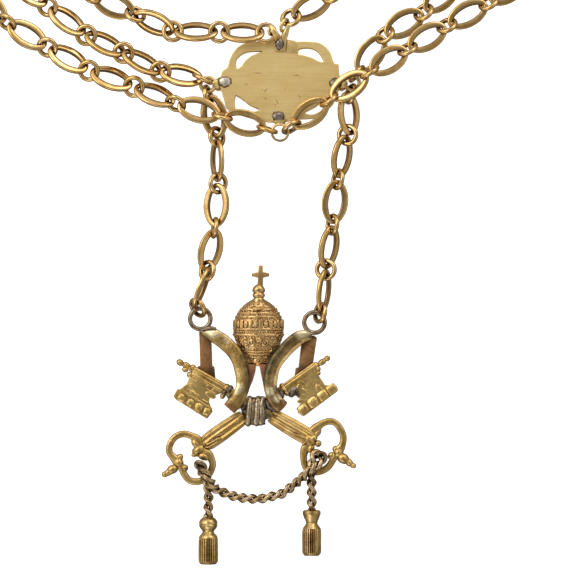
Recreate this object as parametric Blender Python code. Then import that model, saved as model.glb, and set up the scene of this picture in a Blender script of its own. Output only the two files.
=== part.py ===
"""Chain of office: three strands of oval and round links, a riveted medallion, and a pendant.

The collar lies flat on a table, its strands spread in a loop above the medallion and the pendant
below it.  Lengths are in millimetres, in a frame with +X right, +Y away from the pendant and +Z up,
centred on the medallion; the last step moves the whole to stand on the middle of its own box.
"""

import math

import bpy
import bmesh
from mathutils import Matrix, Vector

MM = 0.001

# Chain links.
RING_RADIUS = 3.15
RING_WIRE = 0.8
OVAL_HALF_LENGTH = 6.9
OVAL_HALF_WIDTH = 3.55
OVAL_RAIL_HALF_WIDTH = 1.0
OVAL_END_HALF_WIDTH = 0.75
OVAL_HALF_THICKNESS = 0.7
LINK_PITCH = 16.9
CHAIN_HEIGHT = 4.3
ROLL_EASE = 6
ROLL_WANDER = 3
SMALL_GAP = 0.3

# Medallion: a plate with a raised field on its hidden front, tabs above it and tabs below it.
PLATE_BOTTOM = 2.0
PLATE_TOP = 3.3
UPPER_TAB = (3.6, 4.5)
LOWER_TAB = (0.7, 1.7)
FIELD_RADII = (13.5, 9.0)
RIVET_SHANK = 0.9
RIVET_HEAD_HEIGHT = 1.2

# Pendant, about the point where its keys cross.
PENDANT_PLACE = (-8.05, -112.7)
KEY_HEIGHT = 2.6
CORD_RADIUS = 1.35
SUSPENSION_RADIUS = 3.6
SUSPENSION_WIRE = 0.75

MATERIALS = {
    # name: (red, green, blue, metallic, roughness)
    "medallion_brass": (0.62, 0.43, 0.17, 1.0, 0.36),
    "chain_brass": (0.55, 0.34, 0.11, 1.0, 0.24),
    "rivet_steel": (0.22, 0.19, 0.20, 1.0, 0.30),
    "tiara_gilt": (0.55, 0.31, 0.11, 1.0, 0.34),
    "lappet_brass": (0.36, 0.27, 0.11, 1.0, 0.30),
    "aged_copper": (0.30, 0.13, 0.06, 1.0, 0.42),
    "key_brass": (0.52, 0.35, 0.11, 1.0, 0.30),
    "tarnished_silver": (0.20, 0.17, 0.14, 1.0, 0.38),
    "cord_brass": (0.56, 0.38, 0.15, 1.0, 0.28),
}

# Half of the medallion's outline, from its top middle round to its bottom middle.
PLATE_HALF_OUTLINE = (
    # x, y
    (2.8, 14.7), (8.8, 15.1), (13.8, 14.4), (16.8, 12.3), (18.2, 8.8), (19.3, 5.3), (20.7, 3.3),
    (21.0, 0.7), (20.6, -1.8), (19.6, -4.2), (18.5, -7.0), (16.6, -9.6), (11.6, -11.6),
    (5.6, -12.8), (0.0, -13.3),
)
UPPER_LEFT_OPENING = (
    (-15.4, 5.6), (-15.1, 8.8), (-13.3, 10.7), (-10.5, 11.6), (-7.0, 11.2), (-5.9, 11.7),
    (-7.7, 10.3), (-10.5, 9.4), (-12.9, 7.7), (-14.0, 5.9),
)
UPPER_RIGHT_OPENING = (
    (5.9, 11.2), (6.8, 12.3), (9.4, 12.9), (12.3, 11.7), (14.4, 9.8), (15.4, 8.4), (14.6, 7.9),
    (11.2, 9.3), (7.0, 10.5),
)
LOWER_LEFT_OPENING = (
    (-16.1, -3.8), (-14.0, -5.2), (-10.5, -7.3), (-7.4, -8.7), (-10.5, -9.8), (-14.0, -8.7),
    (-15.8, -6.3),
)
TOP_TAB = (
    (-2.5, 11.5), (-2.7, 16.0), (-3.7, 18.2), (-2.4, 18.6), (-1.2, 16.9), (0.3, 16.9), (0.5, 19.0),
    (1.8, 19.0), (2.8, 16.2), (2.8, 11.5),
)
LEFT_TAB = ((-17.4, 3.0), (-21.8, 2.6), (-22.9, 1.6), (-22.9, -1.6), (-21.8, -2.2), (-17.4, -1.4))
LEFT_TAB_TIP = ((-21.5, 1.5), (-22.9, 1.4), (-22.9, -1.4), (-21.5, -1.5))
TIP_TOP = 3.5
BOTTOM_TAB = ((-2.9, -8.0), (3.2, -8.0), (3.2, -11.8), (1.5, -14.2), (-1.5, -14.2), (-3.1, -11.8))

TABS = {
    # side: outline, bottom and top
    "top": (TOP_TAB, UPPER_TAB),
    "left": (LEFT_TAB, LOWER_TAB),
    "right": ([(-x, y) for x, y in LEFT_TAB], LOWER_TAB),
    "bottom": (BOTTOM_TAB, UPPER_TAB),
}
LUG_EYES = {
    # side: centre, radius, wire, heading, roll of each eye
    "top": (((-3.0, 19.9, 4.4), 2.2, 0.55, 86, 76), ((1.6, 20.6, 4.0), 2.2, 0.55, 70, 62)),
    "left": (((-25.2, 0.0, 3.0), 2.5, 0.6, 180, 0),),
    "right": (((25.2, 0.6, 3.0), 2.5, 0.6, 0, 0),),
    "bottom": (((0.0, -16.8, 4.2), 2.85, 0.45, -90, 0),),
}
RIVETS = {
    # place: (x, y, head half-width along x, head half-width along y)
    "top": (-0.2, 14.2, 1.2, 1.9),
    "left": (-19.3, 1.0, 1.9, 1.5),
    "right": (19.3, 0.4, 1.7, 1.5),
    "bottom": (-0.7, -11.2, 1.9, 1.5),
}

# Links that are pieces of their own: centre, height of the centre, heading and roll of the plane.
FIRST_RINGS = {
    # name: (x, y, z, heading, roll)
    "top_left": (-4.9, 17.8, 5.4, 175, 13),
    "top_right": (3.8, 23.4, 3.0, 31, -36),
    "middle_left": (-27.1, 1.9, 4.5, 154, 89),
    "middle_right": (26.8, 3.7, 4.0, 47, 82),
    "bottom_left": (-4.5, -15.7, 4.4, 163, 84),
    "bottom_right": (4.0, -14.9, 4.3, 31, 71),
}
DROP_LEFT = (
    # kind, x, y, z, heading, roll
    ("ring", -25.1, -3.8, 3.8, -75, 107),
    ("oval", -23.0, -11.1, 2.8, -79, 7),
    ("ring", -22.1, -18.3, 3.2, -76, -46),
    ("oval", -21.9, -26.4, 4.1, -89, 62),
    ("ring", -21.6, -34.5, 3.6, -96, -37),
    ("oval", -22.2, -42.1, 3.6, -93, 19),
    ("ring", -22.8, -50.0, 3.9, -98, 80),
    ("oval", -24.3, -57.8, 3.0, -105, -28),
    ("ring", -25.4, -65.0, 3.9, -103, 46),
    ("oval", -27.3, -71.0, 5.2, -111, 121),
    ("ring", -28.7, -77.9, 3.3, -56, 54),
)
DROP_RIGHT = (
    ("ring", 24.7, -3.3, 3.7, -109, 66),
    ("oval", 24.0, -10.1, 3.2, -86, -36),
    ("ring", 23.6, -17.6, 3.3, -100, 20),
    ("oval", 21.6, -25.1, 3.4, -100, -43),
    ("ring", 20.2, -33.1, 3.6, -100, 62),
    ("oval", 19.2, -41.0, 3.4, -96, -8),
    ("ring", 18.3, -48.9, 3.5, -97, 60),
    ("oval", 17.1, -56.8, 3.4, -100, -44),
    ("ring", 16.0, -64.6, 3.4, -100, 18),
    ("oval", 15.3, -72.1, 4.1, -96, 118),
    ("ring", 14.0, -79.7, 3.5, -102, 59),
)

# The strands' next rings on each side, from the medallion outward, where they lie draped.
STRANDS = {
    # left and right: rows of x, y, z, roll of the oval that leads to the ring, roll of the ring;
    # far: x, y round the back of the neck; settled: rolls of an oval and a ring on the long way
    "top": {
        "left": ((-21.0, 18.2, 5.1, 83, -20), (-37.0, 17.8, 4.2, 60, -24),
                 (-51.0, 25.3, 4.2, 52, -30), (-65.7, 31.1, 4.2, 46, -34)),
        "far": ((-92, 62), (-104, 110), (-84, 165), (-40, 195), (5, 199), (52, 181), (84, 142),
                (87, 100), (66, 64)),
        "right": ((18.1, 31.2, 4.0, -40, -132), (32.3, 39.2, 4.2, -34, -126)),
        "settled": (10, -76),
        "parts": 4,
    },
    "middle": {
        "left": ((-42.4, 5.2, 5.1, 9, -72), (-57.1, 11.9, 4.2, 14, -70),
                 (-71.4, 18.9, 4.1, 14, -72)),
        "far": ((-103, 50), (-118, 108), (-98, 172), (-48, 208), (4, 213), (58, 196), (96, 152),
                (101, 100), (80, 56)),
        "right": ((36.7, 17.3, 4.0, 12, -70), (50.2, 25.2, 4.0, 14, -70)),
        "settled": (10, -76),
        "parts": 3,
    },
    "bottom": {
        "left": ((-20.1, -11.4, 8.2, -11, 80), (-35.8, -6.3, 7.0, -12, 76),
                 (-51.2, -1.0, 4.3, -12, 80), (-66.7, 4.6, 4.1, -10, 78)),
        "far": ((-112, 38), (-132, 106), (-112, 178), (-56, 221), (4, 227), (64, 210), (109, 160),
                (116, 98), (92, 44)),
        "right": ((17.0, -5.5, 7.8, -12, 76), (30.5, 3.7, 9.5, -3, 88),
                  (44.2, 12.2, 6.6, 0, 83), (58.1, 20.5, 4.5, -4, 80)),
        "settled": (4, 88),
        "parts": 3,
    },
}

# Pendant: the tiara's rows, in the pendant's frame.
TIARA_CENTRE = 0.5
TIARA_ROWS = (
    # y, half-width, depth
    (36.9, 2.6, 3.2), (35.7, 5.3, 4.4), (33.9, 6.6, 5.4), (32.2, 7.6, 5.8), (30.5, 8.7, 6.4),
    (28.7, 8.9, 6.5), (26.9, 8.6, 6.4), (25.2, 9.0, 6.6), (23.5, 8.2, 6.2), (21.7, 7.4, 5.8),
    (19.9, 6.5, 5.0), (18.2, 5.6, 4.0), (16.5, 4.8, 3.1), (14.4, 3.8, 2.3),
)
ORB_ROWS = (
    # y, half-width, half-depth
    (36.2, 1.6, 1.2), (37.6, 1.6, 1.3), (38.0, 1.1, 1.1), (38.9, 1.8, 1.7), (40.0, 2.0, 1.9),
    (41.4, 1.5, 1.4), (42.6, 0.7, 0.7),
)
ORB_CENTRE = (TIARA_CENTRE + 0.1, 0, 2.1)
CROSS_BARS = (
    ((0.2, 42.2), (2.0, 42.2), (1.8, 49.7), (0.4, 49.7)),
    ((-1.9, 45.4), (4.3, 45.6), (4.3, 47.3), (-1.9, 47.1)),
)
CROSS_BOTTOM = 1.4
CROSS_TOP = 2.8
LAPPET_LEFT = (
    # x, y, z, half-width
    (-17.2, 25.3, 2.6, 2.1), (-14.7, 24.7, 2.8, 2.3), (-11.2, 22.4, 3.2, 2.3),
    (-8.3, 19.6, 3.8, 2.3), (-6.4, 16.4, 4.4, 2.3), (-5.4, 12.9, 4.9, 2.3),
    (-5.0, 9.4, 5.5, 2.3), (-5.3, 6.0, 5.9, 2.3), (-6.6, 2.9, 5.9, 2.4), (-9.1, 0.4, 5.4, 2.7),
)
LAPPET_RIGHT = (
    (17.0, 24.6, 2.6, 2.1), (14.7, 24.1, 2.8, 2.3), (11.6, 21.7, 3.2, 2.3),
    (8.9, 18.8, 3.8, 2.3), (6.6, 15.7, 4.4, 2.3), (5.2, 12.2, 4.9, 2.3),
    (4.6, 8.8, 5.5, 2.3), (5.1, 5.6, 5.9, 2.3), (6.4, 2.7, 5.9, 2.4), (8.7, 0.0, 5.4, 2.7),
)
LAPPET_THICKNESS = 1.2
STRIP_LEFT = (
    (-20.3, 26.4), (-16.2, 25.8), (-15.6, 14.4), (-14.9, 14.0), (-14.4, 8.8), (-17.2, 9.5),
    (-20.7, 11.6), (-20.8, 14.4), (-20.1, 14.4),
)
STRIP_RIGHT = (
    (15.8, 24.8), (20.7, 24.4), (19.5, 14.4), (17.9, 12.2), (13.0, 9.8), (13.5, 13.7),
    (14.4, 13.7),
)
STRIP_THICKNESS = 0.9
SUSPENSION_RINGS = {"left": (-19.8, 30.9, 2.5), "right": (20.1, 29.6, 2.5)}

STEM_ROWS = (
    # distance from the crossing, half-width, half-depth
    (-24.9, 1.0, 0.9), (-23.9, 2.0, 1.4), (-22.0, 2.4, 1.6), (-20.6, 1.9, 1.5), (-19.2, 2.6, 1.6),
    (-7.4, 2.7, 1.6), (-6.0, 1.8, 1.5), (-2.2, 1.5, 1.5), (8.0, 1.5, 1.5),
    (11.2, 1.6, 1.5), (11.6, 2.1, 1.5), (13.0, 2.0, 1.5), (13.4, 1.4, 1.4), (25.2, 1.3, 1.3),
    (25.8, 0.9, 0.9), (27.0, 1.5, 1.4), (28.0, 0.9, 0.9), (30.6, 1.1, 1.1), (31.4, 0.6, 0.6),
)
BIT_LEFT = (
    (-21.5, 14.2), (-23.6, 10.6), (-24.6, 8.2), (-26.9, 6.3), (-27.9, 6.4), (-29.2, 3.9),
    (-28.4, 2.7), (-17.4, -4.1), (-15.4, -1.5), (-16.8, 1.9), (-16.4, 3.5), (-12.2, 5.0),
)
BIT_RIGHT = (
    (19.2, 14.6), (21.8, 10.8), (23.8, 7.8), (27.4, 7.6), (28.1, 5.5), (16.4, -3.2), (14.0, -0.7),
    (15.4, 1.8), (14.9, 3.2), (10.6, 5.8),
)
BIT_HALF_THICKNESS = 0.9
BOW_LEFT = (
    # x, y round the bow from its stem
    (-19.6, -13.7), (-21.2, -11.0), (-24.2, -9.5), (-26.8, -9.5), (-29.1, -10.9), (-30.6, -13.7),
    (-30.4, -16.0), (-28.2, -18.6), (-26.6, -20.6), (-25.4, -23.4), (-23.6, -25.5),
    (-21.0, -26.0), (-18.8, -25.3), (-17.0, -23.7), (-15.8, -21.6), (-15.5, -19.4),
    (-16.6, -17.0), (-18.6, -15.4),
)
BOW_RIGHT = (
    (18.9, -9.1), (20.9, -7.1), (23.1, -5.5), (25.6, -4.9), (27.8, -5.8), (29.6, -8.4),
    (30.2, -10.9), (29.6, -13.6), (28.0, -15.9), (26.8, -18.0), (24.9, -20.8), (22.5, -22.3),
    (20.0, -22.6), (17.8, -21.8), (16.6, -19.8), (16.3, -16.8), (17.0, -14.2), (18.6, -12.2),
)
FINIAL_LEFT = ((-28.6, -20.0), (-32.0, -23.5))
FINIAL_RIGHT = ((28.6, -17.2), (33.4, -20.7))
BOW_SECTION = (0.9, 0.95, 6)
KEYS = {
    # side of the bit: heading towards it, outlines, and the half of the crossing that is kept
    "left": {"heading": 149.8, "bit": BIT_LEFT, "bow": BOW_RIGHT, "finial": FINIAL_RIGHT,
             "keeps_upper_half": True},
    "right": {"heading": 35.2, "bit": BIT_RIGHT, "bow": BOW_LEFT, "finial": FINIAL_LEFT,
              "keeps_upper_half": False},
}
NOTCH_HALF_LENGTH = 3.6
NOTCH_HALF_WIDTH = 4.0
BINDING_BOTTOM = -6.6
BINDING_TOP = 5.0
BINDING_CENTRE = -1.0
BINDING_WALL = 0.4
BINDING_HALF_DEPTH = 2.1
BINDING_CORNER = 0.8
BINDING_SECTION = (
    # outward, along the sleeve: three rounds of wire
    (-0.3, -2.8), (-0.3, 2.8), (0.3, 2.7), (0.5, 1.9), (0.1, 1.0), (0.5, 0.0), (0.1, -1.0),
    (0.5, -1.9), (0.3, -2.7),
)

CORD_ROUTE = (
    # x, y, z in the pendant's frame, from the left tassel to the right one
    (-17.0, -37.6, 3.6), (-17.0, -33.0, 2.4), (-17.0, -29.0, 2.8), (-18.4, -25.9, 5.3),
    (-20.6, -22.9, 4.4), (-21.4, -19.9, 3.4), (-19.4, -18.0, 3.6), (-17.4, -20.6, 5.0),
    (-15.8, -24.2, 5.2), (-14.6, -27.8, 2.6), (-12.2, -29.4, 1.5), (-7.7, -31.2, 1.5),
    (-3.2, -31.9, 1.5), (1.1, -32.0, 1.5), (4.6, -31.3, 1.5), (8.1, -30.5, 1.5),
    (10.9, -28.7, 1.5), (13.3, -26.9, 1.8), (15.4, -24.2, 3.8), (17.8, -21.4, 5.2),
    (19.2, -18.0, 3.8), (21.3, -14.9, 3.4), (23.9, -15.9, 3.4), (24.2, -18.6, 3.8),
    (22.6, -21.4, 5.2), (20.0, -24.2, 4.6), (19.1, -28.0, 2.4), (19.1, -35.4, 3.6),
)
TASSELS = {
    # side: x, rows of distance along y and radius
    "left": (-17.0, ((-38.0, 1.8), (-38.8, 2.9), (-40.4, 3.4), (-42.0, 2.9), (-43.2, 2.2),
                     (-44.2, 2.9), (-45.2, 3.6), (-53.6, 3.5), (-54.9, 2.6))),
    "right": (19.1, ((-35.8, 3.0), (-38.4, 3.1), (-39.6, 2.2), (-40.4, 2.1), (-41.2, 2.9),
                     (-42.4, 3.35), (-50.8, 3.3), (-51.9, 2.5))),
}


def clear_scene():
    """Remove whatever the scene holds."""
    for old in list(bpy.data.objects):
        bpy.data.objects.remove(old, do_unlink=True)


def make_materials():
    """One Principled material for each finish."""
    made = {}
    for name, (red, green, blue, metallic, roughness) in MATERIALS.items():
        material = bpy.data.materials.new(name)
        material.use_nodes = True
        shader = material.node_tree.nodes["Principled BSDF"]
        shader.inputs["Base Color"].default_value = (red, green, blue, 1.0)
        shader.inputs["Metallic"].default_value = metallic
        shader.inputs["Roughness"].default_value = roughness
        material.diffuse_color = (red, green, blue, 1.0)
        made[name] = material
    return made


def place(name, mesh, material, location=(0, 0, 0), rotation=None):
    """An object for a mesh, at a place in millimetres."""
    obj = bpy.data.objects.new(name, mesh)
    obj.location = Vector(location) * MM
    if rotation is not None:
        obj.rotation_euler = rotation.to_euler()
    if not mesh.materials:
        mesh.materials.append(material)
    bpy.context.scene.collection.objects.link(obj)
    return obj


def finish_mesh(name, bm, smooth_angle=40):
    """A mesh with outward faces from a bmesh, smooth except at its sharp edges."""
    bmesh.ops.recalc_face_normals(bm, faces=bm.faces)
    mesh = bpy.data.meshes.new(name)
    bm.to_mesh(mesh)
    bm.free()
    mesh.shade_smooth()
    mesh.set_sharp_from_angle(angle=math.radians(smooth_angle))
    return mesh


def direction(heading):
    """The unit vector in the table's plane at a heading in degrees."""
    return Vector((math.cos(math.radians(heading)), math.sin(math.radians(heading)), 0))


def link_frame(along, roll):
    """A rotation whose X runs along the chain, rolled about it from lying flat."""
    x_axis = Vector(along).normalized()
    y_axis = Vector((0, 0, 1)).cross(x_axis).normalized()
    z_axis = x_axis.cross(y_axis)
    flat = Matrix((x_axis, y_axis, z_axis)).transposed()
    return flat @ Matrix.Rotation(math.radians(roll), 3, "X")


def ellipse(half_x, half_y, count, start=0.0):
    """Points round an ellipse."""
    angles = [start + 2 * math.pi * i / count for i in range(count)]
    return [Vector((half_x * math.cos(a), half_y * math.sin(a))) for a in angles]


def outward_normals(outline):
    """The direction away from a closed outline's inside at each of its points."""
    normals = []
    for i, point in enumerate(outline):
        chord = outline[(i + 1) % len(outline)] - outline[i - 1]
        normals.append(Vector((chord.y, -chord.x)).normalized())
    return normals


def add_link(bm, outline, sections, frame, centre):
    """Add a closed loop of wire. Each section's points are (outward, upward). Returns face rows."""
    rows = []
    for point, normal, section in zip(outline, outward_normals(outline), sections):
        ring = []
        for outward, upward in section:
            flat = point + normal * outward
            ring.append(bm.verts.new((frame @ Vector((flat.x, flat.y, upward)) + centre) * MM))
        rows.append(ring)
    faces = []
    for row, following in zip(rows, rows[1:] + rows[:1]):
        side = []
        for j in range(len(row)):
            k = (j + 1) % len(row)
            side.append(bm.faces.new((row[j], following[j], following[k], row[k])))
        faces.append(side)
    return faces


def round_section(half_width, half_height, count, start=0.0):
    """A wire's section as (outward, upward) points."""
    return [tuple(p) for p in ellipse(half_width, half_height, count, start)]


def ring_mesh():
    """A round link of its own."""
    bm = bmesh.new()
    outline = ellipse(RING_RADIUS, RING_RADIUS, 12)
    sections = [round_section(RING_WIRE, RING_WIRE, 5)] * len(outline)
    add_link(bm, outline, sections, Matrix.Identity(3), Vector())
    return finish_mesh("round_link", bm)


def oval_mesh():
    """An oval link of its own, its rails wider than its ends."""
    bm = bmesh.new()
    outline = ellipse(OVAL_HALF_LENGTH, OVAL_HALF_WIDTH, 14)
    sections = []
    for point in outline:
        widening = abs(point.y) / OVAL_HALF_WIDTH
        half_width = OVAL_END_HALF_WIDTH + (OVAL_RAIL_HALF_WIDTH - OVAL_END_HALF_WIDTH) * widening
        sections.append(round_section(half_width, OVAL_HALF_THICKNESS, 5))
    add_link(bm, outline, sections, Matrix.Identity(3), Vector())
    return finish_mesh("oval_link", bm)


def weld_links(bm, face_a, face_b):
    """Join two links by a short neck between two quads that face each other."""
    corners_a = list(face_a.verts)
    corners_b = list(reversed(face_b.verts))

    def spread(shift):
        pairs = zip(corners_a, corners_b[shift:] + corners_b[:shift])
        return sum((a.co - b.co).length_squared for a, b in pairs)

    shift = min(range(4), key=spread)
    corners_b = corners_b[shift:] + corners_b[:shift]
    bm.faces.remove(face_a)
    bm.faces.remove(face_b)
    for i in range(4):
        j = (i + 1) % 4
        bm.faces.new((corners_a[i], corners_a[j], corners_b[j], corners_b[i]))


# Links joined along a strand are six and eight-sided loops of a three-sided wire.
JOINED_RING = [Vector((p.x, p.y)) for p in ellipse(3.4, 3.4, 6, math.radians(30))]
JOINED_RING_SECTIONS = [((-0.55, -0.7), (-0.55, 0.7), (0.7, 0.0))] * len(JOINED_RING)
JOINED_OVAL = [Vector(p) for p in (
    (6.9, -1.7), (6.9, 1.7), (3.8, 3.3), (-3.8, 3.3), (-6.9, 1.7), (-6.9, -1.7), (-3.8, -3.3),
    (3.8, -3.3),
)]
JOINED_OVAL_SECTIONS = [((-0.6, -0.65), (-0.6, 0.65), (0.7, 0.0))] * len(JOINED_OVAL)


def stretch_mesh(name, links, origin):
    """One solid of interlocked links, each welded to the next where their wires touch."""
    bm = bmesh.new()
    previous = None
    for kind, centre, along, roll in links:
        frame = link_frame(along, roll)
        if kind == "ring":
            faces = add_link(bm, JOINED_RING, JOINED_RING_SECTIONS, frame, centre - origin)
            ahead, behind = faces[5][0], faces[2][0]
        else:
            faces = add_link(bm, JOINED_OVAL, JOINED_OVAL_SECTIONS, frame, centre - origin)
            ahead, behind = faces[0][0], faces[4][0]
        if previous is not None:
            weld_links(bm, previous, behind)
        previous = ahead
    return finish_mesh(name, bm)


def smooth_curve(points, steps=12):
    """A Catmull-Rom curve through points."""
    padded = [points[0] * 2 - points[1]] + list(points) + [points[-1] * 2 - points[-2]]
    curve = []
    for p0, p1, p2, p3 in zip(padded, padded[1:], padded[2:], padded[3:]):
        for step in range(steps):
            t = step / steps
            curve.append(0.5 * (2 * p1 + (p2 - p0) * t + (2 * p0 - 5 * p1 + 4 * p2 - p3) * t ** 2
                                + (3 * p1 - p0 - 3 * p2 + p3) * t ** 3))
    return curve + [points[-1]]


def evenly_spaced(curve, pitch):
    """Points along a curve, a whole number of near-equal steps apart, ends included."""
    lengths = [0.0]
    for a, b in zip(curve, curve[1:]):
        lengths.append(lengths[-1] + (b - a).length)
    count = math.ceil(lengths[-1] / pitch)
    points = []
    for i in range(count + 1):
        target = lengths[-1] * i / count
        j = max(k for k, length in enumerate(lengths) if length <= target + 1e-9)
        if j == len(curve) - 1:
            points.append(curve[-1].copy())
            continue
        part = (target - lengths[j]) / (lengths[j + 1] - lengths[j])
        points.append(curve[j].lerp(curve[j + 1], part))
    return points


def strand_rings(strand):
    """Every ring of a strand from its first left one to its first right one, with rolls."""
    table = STRANDS[strand]
    left_first = FIRST_RINGS[strand + "_left"]
    right_first = FIRST_RINGS[strand + "_right"]
    rings = [(Vector(left_first[:3]), 0.0, left_first[4])]
    for x, y, z, oval_roll, ring_roll in table["left"]:
        rings.append((Vector((x, y, z)), oval_roll, ring_roll))
    left_end = rings[-1][0]
    right_rows = [(Vector(row[:3]), row[3], row[4]) for row in table["right"]]
    right_end = right_rows[-1][0]
    far = [Vector((x, y, CHAIN_HEIGHT)) for x, y in table["far"]]
    curve = smooth_curve([rings[-2][0], left_end] + far + [right_end, right_rows[-2][0]])
    hidden = evenly_spaced(curve[12:-12], LINK_PITCH)
    for i, point in enumerate(hidden[1:], start=1):
        nearer_end = min(i, len(hidden) - i)
        start = table["left"][-1][3:] if 2 * i < len(hidden) else table["right"][-1][3:]
        ease = min(nearer_end / ROLL_EASE, 1)
        oval_roll, ring_roll = (
            near + (settled - near) * ease for near, settled in zip(start, table["settled"]))
        rings.append((point, oval_roll + ROLL_WANDER * math.sin(1.7 * i),
                      ring_roll + ROLL_WANDER * math.sin(2.4 * i)))
    ovals_back = [row[1] for row in right_rows[::-1]]
    for (place_on, _, ring_roll), oval_roll in zip(right_rows[-2::-1], ovals_back):
        rings.append((place_on, oval_roll, ring_roll))
    rings.append((Vector(right_first[:3]), ovals_back[-1], right_first[4]))
    return rings


def strand_links(strand):
    """A strand's links in order: kind, centre, direction and roll."""
    rings = strand_rings(strand)
    links = []
    for i, (centre, oval_roll, ring_roll) in enumerate(rings):
        before = rings[max(i - 1, 0)][0]
        after = rings[min(i + 1, len(rings) - 1)][0]
        if i > 0:
            links.append(("oval", (before + centre) / 2, centre - before, oval_roll))
        links.append(("ring", centre, after - before, ring_roll))
    return links


def build_strands(materials, ring):
    """The three strands, their hidden and draped links joined in a few solids each."""
    for strand, table in STRANDS.items():
        for side in ("left", "right"):
            x, y, z, heading, roll = FIRST_RINGS[f"{strand}_{side}"]
            place(f"ring_{strand}_{side}", ring, materials["chain_brass"], (x, y, z),
                  link_frame(direction(heading), roll))
        links = strand_links(strand)[1:-1]
        share = math.ceil(len(links) / table["parts"] / 2) * 2
        for part in range(table["parts"]):
            some = links[part * share:(part + 1) * share]
            name = f"strand_{strand}_{part + 1}"
            origin = some[0][1]
            place(name, stretch_mesh(name, some, origin), materials["chain_brass"], origin)


def build_drops(materials, ring, oval):
    """The two chains that carry the pendant."""
    for side, rows in (("left", DROP_LEFT), ("right", DROP_RIGHT)):
        for number, (kind, x, y, z, heading, roll) in enumerate(rows, start=1):
            mesh = ring if kind == "ring" else oval
            place(f"drop_{side}_{number:02d}_{kind}", mesh, materials["chain_brass"], (x, y, z),
                  link_frame(direction(heading), roll))


def outline_mesh(name, outline, bottom, top):
    """A flat piece with straight sides."""
    bm = bmesh.new()
    base = bm.faces.new([bm.verts.new(Vector((x, y, bottom)) * MM) for x, y in outline])
    lifted = bmesh.ops.extrude_face_region(bm, geom=[base])
    risen = [item for item in lifted["geom"] if isinstance(item, bmesh.types.BMVert)]
    bmesh.ops.translate(bm, vec=Vector((0, 0, top - bottom)) * MM, verts=risen)
    return finish_mesh(name, bm)


def loft_mesh(name, sections):
    """A closed solid through sections with the same number of points."""
    bm = bmesh.new()
    rows = [[bm.verts.new(Vector(point) * MM) for point in section] for section in sections]
    for row, following in zip(rows, rows[1:]):
        for j in range(len(row)):
            k = (j + 1) % len(row)
            bm.faces.new((row[j], row[k], following[k], following[j]))
    bm.faces.new(rows[0])
    bm.faces.new(rows[-1])
    return finish_mesh(name, bm)


def path_sections(points, half_widths, half_height, count):
    """Sections of a bar along points, its width level and its thickness upward."""
    sections = []
    for i, point in enumerate(points):
        along = points[min(i + 1, len(points) - 1)] - points[max(i - 1, 0)]
        side = Vector((0, 0, 1)).cross(along).normalized()
        up = along.cross(side).normalized()
        ring = []
        for offset in ellipse(half_widths[i], half_height, count, math.pi / count):
            ring.append(point + side * offset.x + up * offset.y)
        sections.append(ring)
    return sections


def turned_sections(rows, count, centre, axis_frame):
    """Sections of a turned piece: rows of distance along the axis, half-width and half-depth."""
    sections = []
    for distance, half_width, half_depth in rows:
        ring = []
        for offset in ellipse(half_width, half_depth, count, math.pi / count):
            ring.append(axis_frame @ Vector((distance, offset.x, offset.y)) + centre)
        sections.append(ring)
    return sections


def combine(obj, other, operation):
    """Cut another object from this one, or unite it with this one, and remove the other."""
    modifier = obj.modifiers.new(operation.lower(), "BOOLEAN")
    modifier.operation = operation
    modifier.object = other
    modifier.solver = "EXACT"
    graph = bpy.context.evaluated_depsgraph_get()
    result = bpy.data.meshes.new_from_object(obj.evaluated_get(graph))
    obj.modifiers.clear()
    obj.data = result
    own = obj.data.materials[0]
    result.materials.clear()
    result.materials.append(own)
    result.shade_smooth()
    result.set_sharp_from_angle(angle=math.radians(40))
    bpy.data.objects.remove(other, do_unlink=True)


def helper(mesh, location=(0, 0, 0), rotation=None):
    """An object that a Boolean uses up."""
    return place("helper", mesh, bpy.data.materials["chain_brass"], location, rotation)


def torus_mesh(name, radius, wire, count, sides):
    """A plain ring of round wire, flat about its centre."""
    bm = bmesh.new()
    outline = ellipse(radius, radius, count, math.pi / count)
    add_link(bm, outline, [round_section(wire, wire, sides)] * count, Matrix.Identity(3), Vector())
    return finish_mesh(name, bm)


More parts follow.
